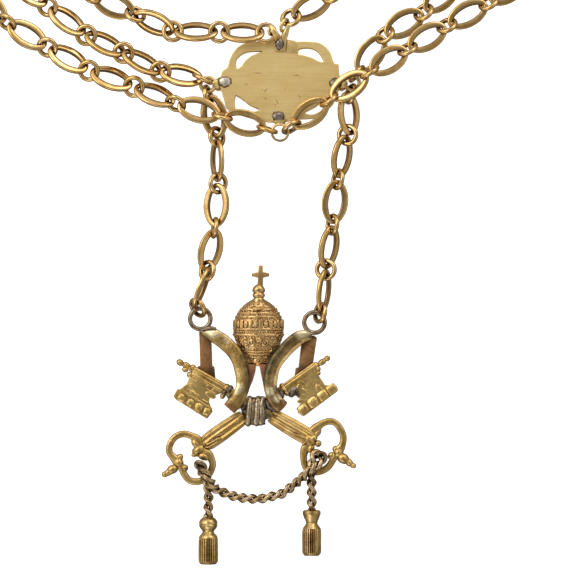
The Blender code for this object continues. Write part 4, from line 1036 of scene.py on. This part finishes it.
def make_tiara():
    """The tiara with bead rows, set stones, small rings and a swag, its orb and its cross."""
    bm = bmesh.new()
    count = 170
    top, bottom = TIARA_PROFILE[0][0], TIARA_PROFILE[-1][0]
    arc = [math.pi * j / 52 for j in range(53)]
    rows = []
    for i in range(count + 1):
        y = top + (bottom - top) * i / count
        half_width, depth = tiara_size(y)
        rows.append([Vector((TIARA_AXIS + half_width * math.cos(a), y, depth * math.sin(a)))
                     for a in arc])
    skin(bm, rows)
    for y, lift, radius, number in BEAD_ROWS:
        for i in range(number):
            point, turn = on_tiara(y, 8 + 164 * (i + 0.5) / number, lift)
            add_ball(bm, point, radius, (1, 1, 0.9), turn, sides=8)
    for i, angle in enumerate(range(12, 169, 12)):
        point, turn = on_tiara(STONE_Y, angle)
        if i % 2:
            add_ball(bm, on_tiara(STONE_Y, angle, 0.4)[0], 0.4, (1, 1.3, 0.7), turn, sides=10)
        stone = [Vector(p) for p in (STONE_LOZENGE if i % 2 else STONE_OBLONG)]
        add_slab(bm, smooth_closed(stone, 3), -0.4, 0.5, 0.25, turn, point)
    for i, angle in enumerate(range(22, 159, 17)):
        point, turn = on_tiara(SMALL_RINGS_Y, angle, 0.05)
        if i % 2:
            add_torus(bm, point, 0.95, 0.34, turn, count=20, sides=8)
            add_ball(bm, point, 0.5, (1, 1, 0.8), turn, sides=10)
        else:
            for step in (-1.05, 1.05):
                place, turn = on_tiara(SMALL_RINGS_Y + step, angle, 0.05)
                add_torus(bm, place, 0.6, 0.3, turn, count=16, sides=8)
                add_ball(bm, place, 0.3, turn=turn, sides=8)
    for i in range(TIARA_BUMPS):
        down, across, size = scattered(i)
        point, turn = on_tiara(15.2 + 20.4 * down, 10 + 160 * across, -0.04)
        add_ball(bm, point, 0.2 + 0.36 * size ** 2, (1, 1, 0.85), turn, sides=8)
    swag = [on_tiara(35.6 - 1.3 * math.sin(math.radians(t)), 90 + 22 * math.cos(math.radians(t)),
                     0.1)[0] for t in range(0, 181, 15)]
    add_tube(bm, swag, 0.42, sides=10)
    for angle in (66, 90, 114):
        point, turn = on_tiara(36.2, angle, 0.1)
        add_ball(bm, point, 0.5, (1, 1, 0.9), turn, sides=10)
    point, turn = on_tiara(16.6, 90, 0.1)
    add_ball(bm, point, 0.8, (0.75, 1.2, 0.6), turn, sides=12)
    upright = Matrix(((0, 1, 0), (1, 0, 0), (0, 0, 1)))
    add_turned(bm, ORB_ROWS, Vector((TIARA_AXIS + 0.1, 0, 2.1)), upright, steps=2)
    add_slab(bm, CROSS, 1.3, 2.8, 0.3)
    stand_in("fine_tiara", bm, ["tiara"], METALS["tiara_gilt"], PENDANT)


make_tiara()


# ---------------------------------------------------------------- lappets

LAPPETS = {
    # side: rows of x, y, z, half-width
    "left": ((-18.7, 26.2, 1.7, 1.0), (-17.2, 25.8, 2.4, 2.0), (-14.7, 25.0, 3.0, 2.45),
             (-11.2, 22.5, 3.5, 2.55), (-8.3, 19.6, 4.0, 2.5), (-6.4, 16.4, 4.5, 2.45),
             (-5.4, 12.9, 5.0, 2.4), (-5.0, 9.4, 5.5, 2.4), (-5.2, 6.2, 5.9, 2.4),
             (-6.6, 2.9, 5.9, 2.45), (-8.2, 1.1, 5.6, 2.55)),
    "right": ((18.9, 24.8, 1.7, 1.1), (17.0, 24.9, 2.4, 2.0), (14.7, 24.3, 3.0, 2.4),
              (11.6, 21.8, 3.5, 2.55), (8.9, 18.8, 4.0, 2.5), (6.6, 15.7, 4.5, 2.45),
              (5.2, 12.2, 5.0, 2.4), (4.6, 8.8, 5.5, 2.4), (5.0, 5.7, 5.9, 2.4),
              (6.3, 2.9, 5.9, 2.45), (7.8, 0.9, 5.6, 2.55)),
}
FEET = {
    "left": ((-7.9, 1.5, 5.6, 2.5), (-8.8, 0.5, 5.4, 2.5), (-9.5, -0.3, 5.1, 2.45)),
    "right": ((7.5, 1.4, 5.6, 2.45), (8.3, 0.6, 5.4, 2.4), (9.0, 0.0, 5.1, 2.35)),
}
FOOT_SWELL = 1.12
LAPPET_SECTIONS = {
    # left and right: across and up, in shares of half the width and in millimetres
    "left": ((-1.0, 0.0), (-0.97, 0.45), (-0.85, 0.75), (-0.6, 0.95), (-0.2, 1.05), (0.3, 1.05),
             (0.7, 0.95), (0.9, 0.7), (0.98, 0.4), (1.0, 0.0), (0.85, -0.8), (0.0, -1.0),
             (-0.85, -0.8)),
    "right": ((-1.0, 0.0), (-0.98, 0.4), (-0.9, 0.75), (-0.55, 1.05), (-0.2, 1.1), (0.05, 0.95),
              (0.25, 0.62), (0.5, 0.5), (0.7, 0.62), (0.82, 0.95), (0.93, 1.0), (1.0, 0.6),
              (1.0, 0.0), (0.85, -0.8), (0.0, -1.0), (-0.85, -0.8)),
}
STRIPS = {
    "left": ((-20.3, 26.4), (-16.0, 26.0), (-15.6, 14.4), (-14.9, 14.2), (-14.4, 8.8),
             (-17.2, 9.5), (-20.7, 11.6), (-20.8, 14.2), (-19.9, 14.5)),
    "right": ((15.8, 24.8), (20.0, 25.0), (21.0, 24.2), (19.5, 14.4), (17.9, 12.2), (13.0, 9.8),
              (13.5, 13.7), (14.5, 13.9)),
}
STRIP_THICKNESS = 0.9
INNER_STRIPS = {
    "left": ((-3.4, 15.0), (-0.3, 15.0), (-0.5, 12.6), (-1.4, 9.4), (-3.0, 5.6), (-4.2, 5.6),
             (-3.4, 10.5)),
    "right": ((3.4, 15.0), (0.8, 15.0), (1.3, 12.0), (2.0, 8.8), (2.6, 5.6), (3.8, 5.6),
              (3.3, 10.5)),
}
SUSPENSION_RINGS = {"left": (-19.8, 30.9, 2.5), "right": (20.1, 29.6, 2.5)}
SUSPENSION_RADIUS = 3.6
SUSPENSION_WIRE = 0.82
SUSPENSION_TILT = math.radians(6)
RING_TAIL = ((-19.6, 26.9, 3.0), (-17.6, 27.6, 4.0), (-16.0, 27.9, 4.3), (-14.6, 27.5, 3.9))


def add_band(bm, rows, section):
    """A band along rows of x, y, z, half-width, its section in shares of half its width."""
    path, widths = smooth_rows(rows, 6)
    made = []
    for point, along, width in zip(path, chords(path), widths):
        side = Vector((0, 0, 1)).cross(along).normalized()
        up = along.cross(side).normalized()
        made.append([point + side * share * width + up * lift for share, lift in section])
    return skin(bm, made)


def make_lappets():
    """The lappets with their feet, the copper strips and the hanging rings."""
    foot_section = [(share, lift * FOOT_SWELL) for share, lift in LAPPET_SECTIONS["left"]]
    for side, metal in (("left", "lappet_brass"), ("right", "lappet_dark")):
        bm = bmesh.new()
        dent(add_band(bm, LAPPETS[side], LAPPET_SECTIONS[side]), 0.2, 0.3)
        dent(add_band(bm, FEET[side], foot_section), 0.1, 0.6)
        stand_in(f"fine_lappet_{side}", bm, [f"lappet_{side}"], METALS[metal],
                 PENDANT, smooth_angle=50)
        bm = bmesh.new()
        add_slab(bm, INNER_STRIPS[side], 1.8, 3.4, 0.25)
        stand_in(f"inner_strip_{side}", bm, [], METALS["strip_red"], PENDANT)
    for side, outline in STRIPS.items():
        bm = bmesh.new()
        add_slab(bm, outline, 0, STRIP_THICKNESS, 0.2)
        stand_in(f"fine_lappet_strip_{side}", bm, [f"lappet_strip_{side}"],
                 METALS["aged_copper"], PENDANT)
    for side, centre in SUSPENSION_RINGS.items():
        bm = bmesh.new()
        add_torus(bm, centre, SUSPENSION_RADIUS, SUSPENSION_WIRE,
                  Matrix.Rotation(SUSPENSION_TILT, 3, "Y"), count=56, sides=16)
        if side == "left":
            add_tube(bm, smooth_curve([Vector(p) for p in RING_TAIL], 5), 0.5)
        stand_in(f"fine_suspension_ring_{side}", bm, [f"suspension_ring_{side}"],
                 METALS["ring_grey"], PENDANT)


make_lappets()


# ---------------------------------------------------------------- keys

KEY_HEIGHT = 2.6
BIT_LEFT = (
    (-21.5, 14.2), (-23.6, 10.6), (-24.6, 8.2), (-26.9, 6.3), (-27.9, 6.4), (-29.2, 3.9),
    (-28.4, 2.7), (-17.4, -4.1), (-15.4, -1.5), (-16.8, 1.9), (-16.4, 3.5), (-12.2, 5.0),
)
BIT_RIGHT = (
    (19.2, 14.6), (21.8, 10.8), (23.8, 7.8), (27.4, 7.6), (28.1, 5.5), (16.4, -3.2), (14.0, -0.7),
    (15.4, 1.8), (14.9, 3.2), (10.6, 5.8),
)
BIT_HALF_THICKNESS = 0.75
# ends: along the key, aside towards the bit
STEM_ENDS = ((-6, 0), (11.6, 0))
WEB_ENDS = ((10.6, 0.3), (25.0, 0.3))
TIP_ENDS = ((24.6, 0.2), (30.2, 0.1))
BARREL_ENDS = (10.6, 25.2)
STEM_HALF_WIDTH = 1.4
WEB_HALF_WIDTH = 1.75
BAR_HALF_HEIGHT = 0.7
TIP_RADIUS = 0.7
BIT_BUMPS = 34
BIT_TEETH = {
    # side: rows of along the key and half-width; for each tooth its places aside and its
    # half-heights there, how much narrower its ends are, how deep it sits, its dents' size, grain
    "left": (((14.4, 1.2), (17.6, 1.35), (20.9, 1.2), (24.3, 1.4)), (8.9, 9.3, 10.4, 11.3, 11.7),
             (0.35, 0.7, 0.8, 0.7, 0.35), 0.3, 0.15, 0.3, 0.9),
    "right": (((12.8, 1.8), (16.9, 1.8), (21.2, 1.8), (25.0, 1.8)), (8.2, 8.6, 10.0, 11.2, 11.6),
              (0.35, 0.65, 0.75, 0.65, 0.35), 0.4, 0.1, 0.2, 0.7),
}
BIT_EDGE = ((13.2, 8.4), (25.4, 8.1))
BIT_LINES = (
    # along the key from and to, aside
    (19.6, 23.8, 6.6), (22.6, 25.0, 2.9), (15.0, 18.4, 3.2), (15.6, 17.6, 7.2),
)
LEFT_WIRE = ((12.8, -9.4), (15.4, -10.1), (16.8, -10.9), (17.1, -12.0), (16.2, -12.9))
RIGHT_WIRE = ((-12.9, -10.9), (-14.6, -11.5), (-16.0, -12.4), (-17.2, -12.9))
SHAFT_BEADS = 34
BOW_LEFT = (
    (-19.6, -13.7), (-21.2, -11.0), (-24.2, -9.5), (-26.8, -9.5), (-29.1, -10.9), (-30.6, -13.7),
    (-30.4, -16.0), (-28.2, -18.6), (-26.6, -20.6), (-25.4, -23.4), (-23.6, -25.5),
    (-21.0, -26.0), (-18.8, -25.3), (-17.0, -23.7), (-15.8, -21.6), (-15.5, -19.4),
    (-16.6, -17.0), (-18.6, -15.4),
)
BOW_RIGHT = (
    (18.9, -9.1), (20.9, -7.1), (23.1, -5.5), (25.6, -4.9), (27.8, -5.8), (29.6, -8.4),
    (30.2, -10.9), (29.6, -13.6), (28.0, -15.9), (26.8, -18.0), (24.9, -20.8), (22.5, -22.3),
    (20.0, -22.6), (17.8, -21.8), (16.6, -19.8), (16.3, -16.8), (17.0, -14.2), (18.6, -12.2),
)
KEYS = {
    # side of the bit: heading towards it, turn to the bit's side, height of the stem,
    # barrels as aside and radius, and outlines of the bit and of the bow at the far end
    "left": (149.8, 90, KEY_HEIGHT + 0.75, ((-0.75, 0.85), (1.35, 0.7)), BIT_LEFT, BOW_RIGHT),
    "right": (35.2, -90, KEY_HEIGHT - 0.75, ((0.0, 1.05),), BIT_RIGHT, BOW_LEFT),
}
KEY_BEADS = {
    # along the key, aside towards the bit, radius, stretch along
    "left": ((31.1, 0.0, 1.2, 1.15), (28.6, -0.4, 1.0, 1.45), (28.3, 1.3, 0.95, 1.2),
             (26.3, -0.8, 1.05, 1.1), (26.0, 2.0, 1.1, 1.0), (12.7, -0.6, 1.45, 0.9),
             (12.4, 1.2, 1.25, 0.8), (12.3, 2.6, 1.15, 0.8)),
    "right": ((29.9, 0.2, 1.05, 1.1), (27.7, 0.2, 1.1, 1.6), (25.4, -0.4, 0.95, 0.9),
              (25.2, 1.3, 1.05, 0.9), (24.5, 2.6, 0.85, 0.9), (11.4, -0.9, 1.15, 0.9),
              (11.4, 0.6, 1.35, 0.8), (11.3, 2.0, 1.1, 0.8)),
}
SHAFT_HALF_DEPTH = 1.5
SHAFT_FLUTES = 3
FLUTE_DEPTH = 0.42
PLAIN_EDGE = 0.8
SHAFT_ROWS = (
    # distance along the key, half-width
    (-5.6, 2.2), (-7.0, 2.7), (-11.0, 3.0), (-16.0, 3.15), (-20.0, 3.05), (-21.6, 2.8),
    (-22.5, 2.1), (-23.2, 1.1),
)
BOW_HALF_WIDTH = 1.22
BOW_HALF_THICKNESS = 1.0
SWELLING_REACH = 1.7
BOW_KNOBS = {
    # side of the bit: x, y, radius, stretch, heading of the stretch
    "left": ((21.4, -12.7, 1.2, 1.0, 0), (19.5, -10.9, 1.5, 1.2, 40), (21.1, -9.0, 1.1, 1.6, 50),
             (18.8, -14.1, 1.3, 1.4, 70), (28.4, -15.8, 1.75, 1.1, 50), (27.5, -14.6, 1.2, 1.0, 0),
             (25.8, -16.9, 1.1, 1.2, 60), (30.1, -17.9, 1.85, 1.3, -32),
             (32.2, -19.3, 1.3, 1.3, -35), (33.6, -20.4, 1.05, 1.1, -32),
             (18.3, -11.6, 1.9, 1.4, -60)),
    "right": ((-21.5, -12.6, 1.3, 1.5, -60), (-22.0, -16.7, 0.85, 1.1, 0),
              (-18.6, -17.2, 1.35, 1.7, -20), (-27.4, -19.3, 1.75, 1.1, 130),
              (-26.9, -17.4, 1.25, 1.0, 0), (-25.2, -21.2, 1.25, 1.0, 0),
              (-29.5, -21.7, 1.65, 1.3, 205), (-31.0, -22.8, 1.25, 1.2, 205),
              (-32.1, -23.4, 1.15, 1.1, 205), (-20.4, -14.9, 1.8, 1.4, 215),
              (-20.9, -15.9, 1.2, 1.2, 120)),
}
SWELLINGS = {
    # side of the bit: x, y, extra half-width
    "left": ((20.4, -7.4, 0.5), (28.6, -15.2, 0.5), (17.4, -14.6, 0.5)),
    "right": ((-21.0, -11.6, 0.5), (-28.0, -18.8, 0.5), (-17.6, -16.6, 0.5)),
}
SOLDER = (
    # x, y, z, radius, stretch, heading
    (-4.5, 0.6, 3.2, 1.3, 1.4, 60), (-3.9, -1.4, 3.0, 1.2, 1.2, 0), (4.3, 0.9, 3.2, 1.6, 1.9, -40),
    (5.9, -0.7, 3.0, 1.2, 1.4, -30), (-9.6, 6.3, 3.3, 1.3, 1.2, 60), (-9.2, 4.3, 3.1, 1.3, 1.2, 60),
    (13.0, 6.2, 2.7, 1.2, 1.7, 35), (12.4, 4.7, 2.5, 1.1, 1.5, 35), (14.9, 6.3, 2.7, 0.8, 1.2, 35),
    (3.1, -2.8, 3.2, 1.1, 1.3, -60), (8.2, 4.6, 3.2, 1.4, 1.2, 120),
)


def fluted(half_width):
    """A flattened round section with ridges and grooves across its faces."""
    half_depth = SHAFT_HALF_DEPTH * min(1, half_width / 2.2)
    points = []
    for p in squarish(1, 1, 56, 2.6):
        ridge = 0.5 - 0.5 * math.cos(SHAFT_FLUTES * math.pi * (p.x + 1))
        edge = max(abs(p.x) - PLAIN_EDGE, 0) / 0.2
        lift = 1 - FLUTE_DEPTH * (1 - ridge) * (1 - edge)
        points.append((half_width * p.x, half_depth * p.y * lift))
    return points


def add_bow(bm, outline, swellings):
    """The open loop that a key is held by, thicker where its parts join."""
    curve = smooth_closed(counter_clockwise(outline), 6)
    sections = []
    for point in curve:
        extra = sum(more * math.exp(-((point - Vector((x, y))).length / SWELLING_REACH) ** 2)
                    for x, y, more in swellings)
        sections.append([tuple(p) for p in squarish(BOW_HALF_WIDTH + extra,
                                                    BOW_HALF_THICKNESS + extra / 2, 18, 2.7)])
    add_loop(bm, curve, sections, Matrix.Identity(3), Vector((0, 0, KEY_HEIGHT)))


def within(outline, x, y):
    """Whether a point lies inside an outline."""
    inside = False
    for (x_a, y_a), (x_b, y_b) in zip(outline, outline[1:] + outline[:1]):
        if (y_a > y) != (y_b > y) and x < x_a + (y - y_a) / (y_b - y_a) * (x_b - x_a):
            inside = not inside
    return inside


def add_teeth(bm, side, at, top):
    """The raised teeth along the edge of a bit."""
    places, asides, heights, narrowing, sink, amount, grain = BIT_TEETH[side]
    for along, width in places:
        widths = [width - narrowing, width, width + 0.1, width, width - narrowing]
        path = [at(along, aside, top - sink) for aside in asides]
        dent(add_bar(bm, path, widths, heights, sides=24, power=3.0), amount, grain)


def add_wire(bm, route, height, steps):
    """A bent wire on a key's shaft, through rows of x and y."""
    path = smooth_curve([Vector((x, y, height)) for x, y in route], steps)
    return add_tube(bm, path, 0.5)


def make_key(side):
    """One key: bit, barrel, fluted shaft, bow and beads."""
    heading, turn_to_bit, stem_height, barrels, bit, bow = KEYS[side]
    along_key, aside_key = direction(heading), direction(heading + turn_to_bit)
    key_frame = facing(heading)

    def at(along, aside, height=KEY_HEIGHT):
        return along_key * along + aside_key * aside + Vector((0, 0, height))

    bm = bmesh.new()
    add_slab(bm, bit, KEY_HEIGHT - BIT_HALF_THICKNESS, KEY_HEIGHT + BIT_HALF_THICKNESS, 0.25)
    for ends, height, half_width in ((STEM_ENDS, stem_height, STEM_HALF_WIDTH),
                                     (WEB_ENDS, KEY_HEIGHT, WEB_HALF_WIDTH)):
        add_bar(bm, [at(*end, height) for end in ends], [half_width] * 2, [BAR_HALF_HEIGHT] * 2)
    add_tube(bm, [at(*end) for end in TIP_ENDS], TIP_RADIUS)
    for aside, radius in barrels:
        add_tube(bm, [at(along, aside, KEY_HEIGHT + 0.2) for along in BARREL_ENDS], radius,
                 sides=18)
    for along, aside, radius, stretch in KEY_BEADS[side]:
        add_ball(bm, at(along, aside, KEY_HEIGHT + 0.1), radius, (stretch, 1, 1), key_frame,
                 sides=16)
    shaft = []
    for distance, half_width, _ in smooth_curve([Vector((*row, 0)) for row in SHAFT_ROWS], 3):
        shaft.append([key_frame @ Vector((distance, x, y)) + Vector((0, 0, KEY_HEIGHT))
                      for x, y in fluted(half_width)])
    skin(bm, shaft)
    add_bow(bm, bow, SWELLINGS[side])
    for x, y, radius, stretch, heading_here in BOW_KNOBS[side]:
        made = add_ball(bm, (x, y, KEY_HEIGHT + 0.15), radius, (stretch, 1, 0.95),
                        facing(heading_here), sides=16)
        dent(made, 0.1, 1.3)
    top = KEY_HEIGHT + BIT_HALF_THICKNESS
    for i in range(BIT_BUMPS):
        along, aside, size = scattered(i)
        place = at(11 + 16 * along, 1.6 + 10 * aside, top - 0.1)
        # Only bumps well inside the bit's outline are made.
        if within(bit, place.x * 1.05, place.y * 1.05) and within(bit, place.x, place.y):
            add_ball(bm, place, 0.5 + 0.7 * size ** 2, (1.8, 1, 0.2), facing(73 * i), sides=12)
    if side == "left":
        add_bar(bm, [at(along, aside, top) for along, aside in BIT_EDGE], [0.4] * 2, [0.5] * 2)
        add_teeth(bm, side, at, top)
        for near, far, aside in BIT_LINES:
            add_tube(bm, [at(near, aside, top), at(far, aside, top)], 0.3, sides=10)
        add_wire(bm, LEFT_WIRE, KEY_HEIGHT + 1.1, 4)
    else:
        add_teeth(bm, side, at, top)
        for i in range(SHAFT_BEADS):
            place = at(-8.2 - 0.36 * i, 0.25 * (-1) ** i, KEY_HEIGHT + 1.42)
            add_ball(bm, place, 0.3, sides=8)
        dent(add_wire(bm, RIGHT_WIRE, KEY_HEIGHT + 1.2, 5), 0.25, 1.6)
    stand_in(f"fine_key_{side}", bm, [f"key_{side}"], METALS["key_brass"], PENDANT,
             smooth_angle=45)


BINDING_HALF_SIZE = (4.6, 1.8)
BINDING_CENTRE_Y = -1.3
# The thin grey turn between the bright ones and the thin dark turn at the edge paint the shade
# there.
BINDING_TURNS = (
    # x, slant, half-width, half-depth and metal of the wire
    (-2.8, 0.55, 1.0, 0.9, "tarnished_silver"), (-1.35, 0.7, 0.7, 0.5, "ring_grey"),
    (0.1, 0.85, 1.0, 0.9, "tarnished_silver"), (1.7, 0.6, 0.85, 0.6, "tarnished_silver"),
    (2.6, 0.2, 0.5, 0.3, "solder_dark"),
)


def make_binding():
    """Turns of flattened wire round the crossing, two of them darker to paint the shade in a gap
    and at the edge, and the solder between and beside them.
    """
    parts = {metal: bmesh.new() for metal in ("tarnished_silver", "ring_grey", "solder_dark")}
    wound = Matrix(((0, 0, 1), (1, 0, 0), (0, 1, 0)))
    outline = squarish(*BINDING_HALF_SIZE, 48, 3.2)
    for x, slant, wire, depth, metal in BINDING_TURNS:
        section = [(depth * p.x, wire * p.y) for p in ellipse(1, 1, 14)]
        turn = Matrix.Rotation(math.radians(-6 * slant), 3, "Z") @ wound
        made = add_loop(parts[metal], outline, [section] * 48, turn,
                        Vector((x, BINDING_CENTRE_Y, KEY_HEIGHT + 0.1)))
        dent(made, 0.3, 0.6)
    for x, y, z, radius, stretch, heading in SOLDER:
        made = add_ball(parts["solder_dark"], (x, y, z), radius, (stretch, 1, 0.8),
                        facing(heading), sides=20)
        dent(made, 0.3, 0.9)
    for name, metal, nodes in (("fine_key_binding", "tarnished_silver", ["key_binding"]),
                               ("binding_shaded_turns", "ring_grey", []),
                               ("solder_lumps", "solder_dark", [])):
        stand_in(name, parts[metal], nodes, METALS[metal], PENDANT,
                 smooth_angle=60)


for side in KEYS:
    make_key(side)
make_binding()


# ---------------------------------------------------------------- cord and tassels

CORD_ROUTE = (
    # x, y, z from the left tassel to the right one
    (-17.0, -38.2, 3.6), (-17.0, -33.0, 2.4), (-16.9, -29.4, 2.8), (-17.3, -26.4, 4.9),
    (-18.6, -23.7, 4.2), (-19.6, -21.8, 3.5), (-20.2, -20.5, 3.7), (-20.1, -19.6, 5.0),
    (-19.3, -20.4, 6.3), (-18.0, -22.3, 7.0), (-16.8, -24.5, 6.9), (-15.4, -27.2, 4.4),
    (-14.0, -28.7, 2.3), (-12.2, -29.6, 1.9), (-7.7, -31.2, 1.9),
    (-3.2, -31.9, 1.9), (1.1, -32.0, 1.9), (4.6, -31.3, 1.9), (8.1, -30.5, 1.9),
    (10.9, -28.7, 1.9), (13.3, -26.9, 2.3), (15.8, -24.6, 4.2), (18.2, -22.2, 6.4),
    (20.8, -20.2, 6.6), (22.6, -18.5, 5.6), (22.8, -16.8, 4.8), (21.4, -15.8, 4.6),
    (20.0, -16.8, 4.6), (19.4, -19.2, 4.6), (19.1, -22.2, 3.8), (19.1, -25.5, 2.8),
    (19.1, -30.0, 2.6), (19.1, -36.2, 3.6),
)
CORD_STEP = 0.32
CORD_LAY = 6.9
STRAND_OFFSET = 0.90
WIRE_OFFSET = 0.34
WIRE_RADIUS = 0.58
TASSELS = {
    # side: x, rows of distance along y, radius and 1 on the grooved skirt
    "left": (-17.0, ((-38.2, 1.5, 0), (-38.6, 2.2, 0), (-39.2, 2.85, 0), (-39.9, 3.2, 0),
                     (-40.5, 3.3, 0), (-40.8, 3.1, 0), (-41.1, 3.25, 0), (-41.7, 3.1, 0),
                     (-42.5, 2.6, 0), (-43.1, 2.1, 0), (-43.5, 2.0, 0), (-43.9, 2.2, 0),
                     (-44.5, 2.8, 0), (-45.1, 3.2, 0), (-45.5, 3.3, 0), (-45.7, 3.3, 1),
                     (-46.2, 3.45, 1), (-53.2, 3.5, 1), (-53.8, 3.45, 1), (-54.0, 3.35, 0),
                     (-54.8, 2.7, 0), (-54.9, 1.2, 0))),
    "right": (19.1, ((-35.9, 1.2, 0), (-35.95, 2.7, 0), (-36.2, 3.1, 0), (-36.9, 3.2, 0),
                     (-37.4, 3.15, 0), (-37.7, 2.95, 0), (-38.6, 2.7, 0), (-39.6, 2.2, 0),
                     (-40.4, 2.0, 0), (-41.0, 2.25, 0), (-41.7, 2.8, 0), (-42.3, 3.2, 0),
                     (-42.5, 3.2, 1), (-43.0, 3.4, 1), (-50.2, 3.4, 1), (-50.8, 3.3, 1),
                     (-51.0, 3.2, 0), (-51.8, 2.6, 0), (-51.9, 1.2, 0))),
}
SKIRT_GROOVES = 26
GROOVE_DEPTH = 0.45


def add_cord(bm, route):
    """Two strands laid round each other, each of three wires that keep side by side."""
    curve = smooth_curve([Vector(point) for point in route], 16)
    path = evenly_spaced(curve, CORD_STEP)
    frames = path_frames(path)
    for strand in range(2):
        for wire in range(3):
            points = []
            for i, (point, (side, up)) in enumerate(zip(path, frames)):
                turned = -2 * math.pi * (i * CORD_STEP / CORD_LAY + strand / 2)
                inner = turned + 2 * math.pi * wire / 3
                point = point + (side * math.cos(turned) + up * math.sin(turned)) * STRAND_OFFSET
                points.append(point + (side * math.cos(inner) + up * math.sin(inner)) * WIRE_OFFSET)
            add_tube(bm, points, WIRE_RADIUS, sides=8)


def add_tassel(bm, x, rows):
    """A turned tassel whose skirt is cut with upright grooves."""
    widest = max(row[1] for row in rows)
    sides = SKIRT_GROOVES * 6
    made = []
    for y, radius, grooved in rows:
        row = []
        for j in range(sides):
            angle = 2 * math.pi * j / sides
            cut = (0.5 + 0.5 * math.cos(SKIRT_GROOVES * angle)) ** 3 * GROOVE_DEPTH * grooved
            row.append(Vector((x + (radius - cut) * math.cos(angle), y,
                               widest + (radius - cut) * math.sin(angle))))
        made.append(row)
    skin(bm, made)


def make_cord():
    """The cord and the two tassels on its ends."""
    bm = bmesh.new()
    add_cord(bm, CORD_ROUTE)
    stand_in("fine_tassel_cord", bm, ["tassel_cord"], METALS["cord_brass"], PENDANT,
             smooth_angle=60)
    for side, (x, rows) in TASSELS.items():
        bm = bmesh.new()
        add_tassel(bm, x, rows)
        stand_in(f"fine_tassel_{side}", bm, [f"tassel_{side}"],
                 METALS["tassel_gilt"], PENDANT, smooth_angle=30)


make_cord()


# ---------------------------------------------------------------- table, light and camera

VIEW_CENTRE = Vector((1.75, -70.0, 0))
VIEW_WIDTH = 199.5
CAMERA_HEIGHT = 1400.0
LIGHT_AIM = Vector((0, -60, 0))
TABLE_HALF_SIZE = 3.0
TABLE_GLOW = 0.8
TABLE_GAP = 0.1
LIGHTS = (
    # name, place, width, height, power
    ("key", (-620, 420, 900), 700, 500, 3.4), ("fill", (500, 800, 600), 700, 400, 2.4),
    ("low", (-300, -900, 500), 500, 250, 1.2),
)
WALLS = (
    # height as a share of the way from straight below to straight above, colour
    (0.0, (0.34, 0.32, 0.28)), (0.46, [0.36] * 3), (0.54, [0.7] * 3), (0.62, [1.0] * 3),
    (0.82, [1.05] * 3), (0.91, [0.76] * 3), (0.97, [0.36] * 3), (1.0, [0.26] * 3),
)


def add_light(name, place, size_x, size_y, power):
    """A soft rectangular lamp aimed at the collar, its place and size in millimetres."""
    data = bpy.data.lights.new(name, "AREA")
    data.shape = "RECTANGLE"
    data.size = size_x * MM
    data.size_y = size_y * MM
    data.energy = power
    lamp = bpy.data.objects.new(name, data)
    lamp.location = ORIGIN + Vector(place) * MM
    lamp.rotation_euler = (LIGHT_AIM - Vector(place)).to_track_quat("-Z", "Y").to_euler()
    bpy.context.scene.collection.objects.link(lamp)


def make_table():
    """A plain pale table under everything."""
    bm = bmesh.new()
    bmesh.ops.create_grid(bm, x_segments=1, y_segments=1, size=TABLE_HALF_SIZE)
    mesh = bpy.data.meshes.new("table")
    bm.to_mesh(mesh)
    bm.free()
    shader = Shader("table_white")
    shade = shader.ramp(shader.noise(0.004), 0.3, 0.7)
    colour = shader.mix(shade, (0.93, 0.93, 0.93), (0.95, 0.95, 0.95))
    shader.surface_values(Emission_Color=(1, 1, 1, 1), Emission_Strength=TABLE_GLOW, Metallic=0.0)
    mesh.materials.append(shader.finish(colour, shader.ramp(shade, 0, 1, 0.8, 0.9)))
    table = bpy.data.objects.new("table", mesh)
    bpy.context.scene.collection.objects.link(table)
    table.location.z = -TABLE_GAP * MM
    table.visible_glossy = False


def make_camera():
    """A long lens straight above."""
    data = bpy.data.cameras.new("camera")
    data.sensor_width = 36.0
    data.lens = data.sensor_width * CAMERA_HEIGHT / VIEW_WIDTH
    data.clip_end = 10
    camera = bpy.data.objects.new("camera", data)
    camera.location = ORIGIN + (VIEW_CENTRE + Vector((0, 0, CAMERA_HEIGHT))) * MM
    bpy.context.scene.collection.objects.link(camera)
    bpy.context.scene.camera = camera


def make_world():
    """A studio whose walls are brightest a little above the middle, on the far and left sides."""
    world = bpy.data.worlds.new("studio")
    nodes = Nodes(world)
    around = nodes.node("ShaderNodeTexCoord").outputs["Generated"]
    x, y, z = nodes.node("ShaderNodeSeparateXYZ", {0: around}).outputs
    walls = nodes.node("ShaderNodeValToRGB", {"Fac": nodes.ramp(z, -1.0, 1.0)})
    elements = walls.color_ramp.elements
    for position, _ in WALLS[1:-1]:
        elements.new(position)
    for element, (_, colour) in zip(elements, WALLS):
        element.color = (*colour, 1)
    strength = nodes.math("MULTIPLY", nodes.ramp(y, -0.7, 0.2, 0.6, 1.15),
                          nodes.ramp(x, -0.7, 0.7, 1.2, 0.8))
    background = nodes.tree.nodes["Background"]
    nodes.tree.links.new(strength, background.inputs["Strength"])
    nodes.tree.links.new(walls.outputs["Color"], background.inputs["Color"])
    bpy.context.scene.world = world


make_table()
make_camera()
for row in LIGHTS:
    add_light(*row)
make_world()
bpy.context.scene.view_settings.view_transform = "Standard"
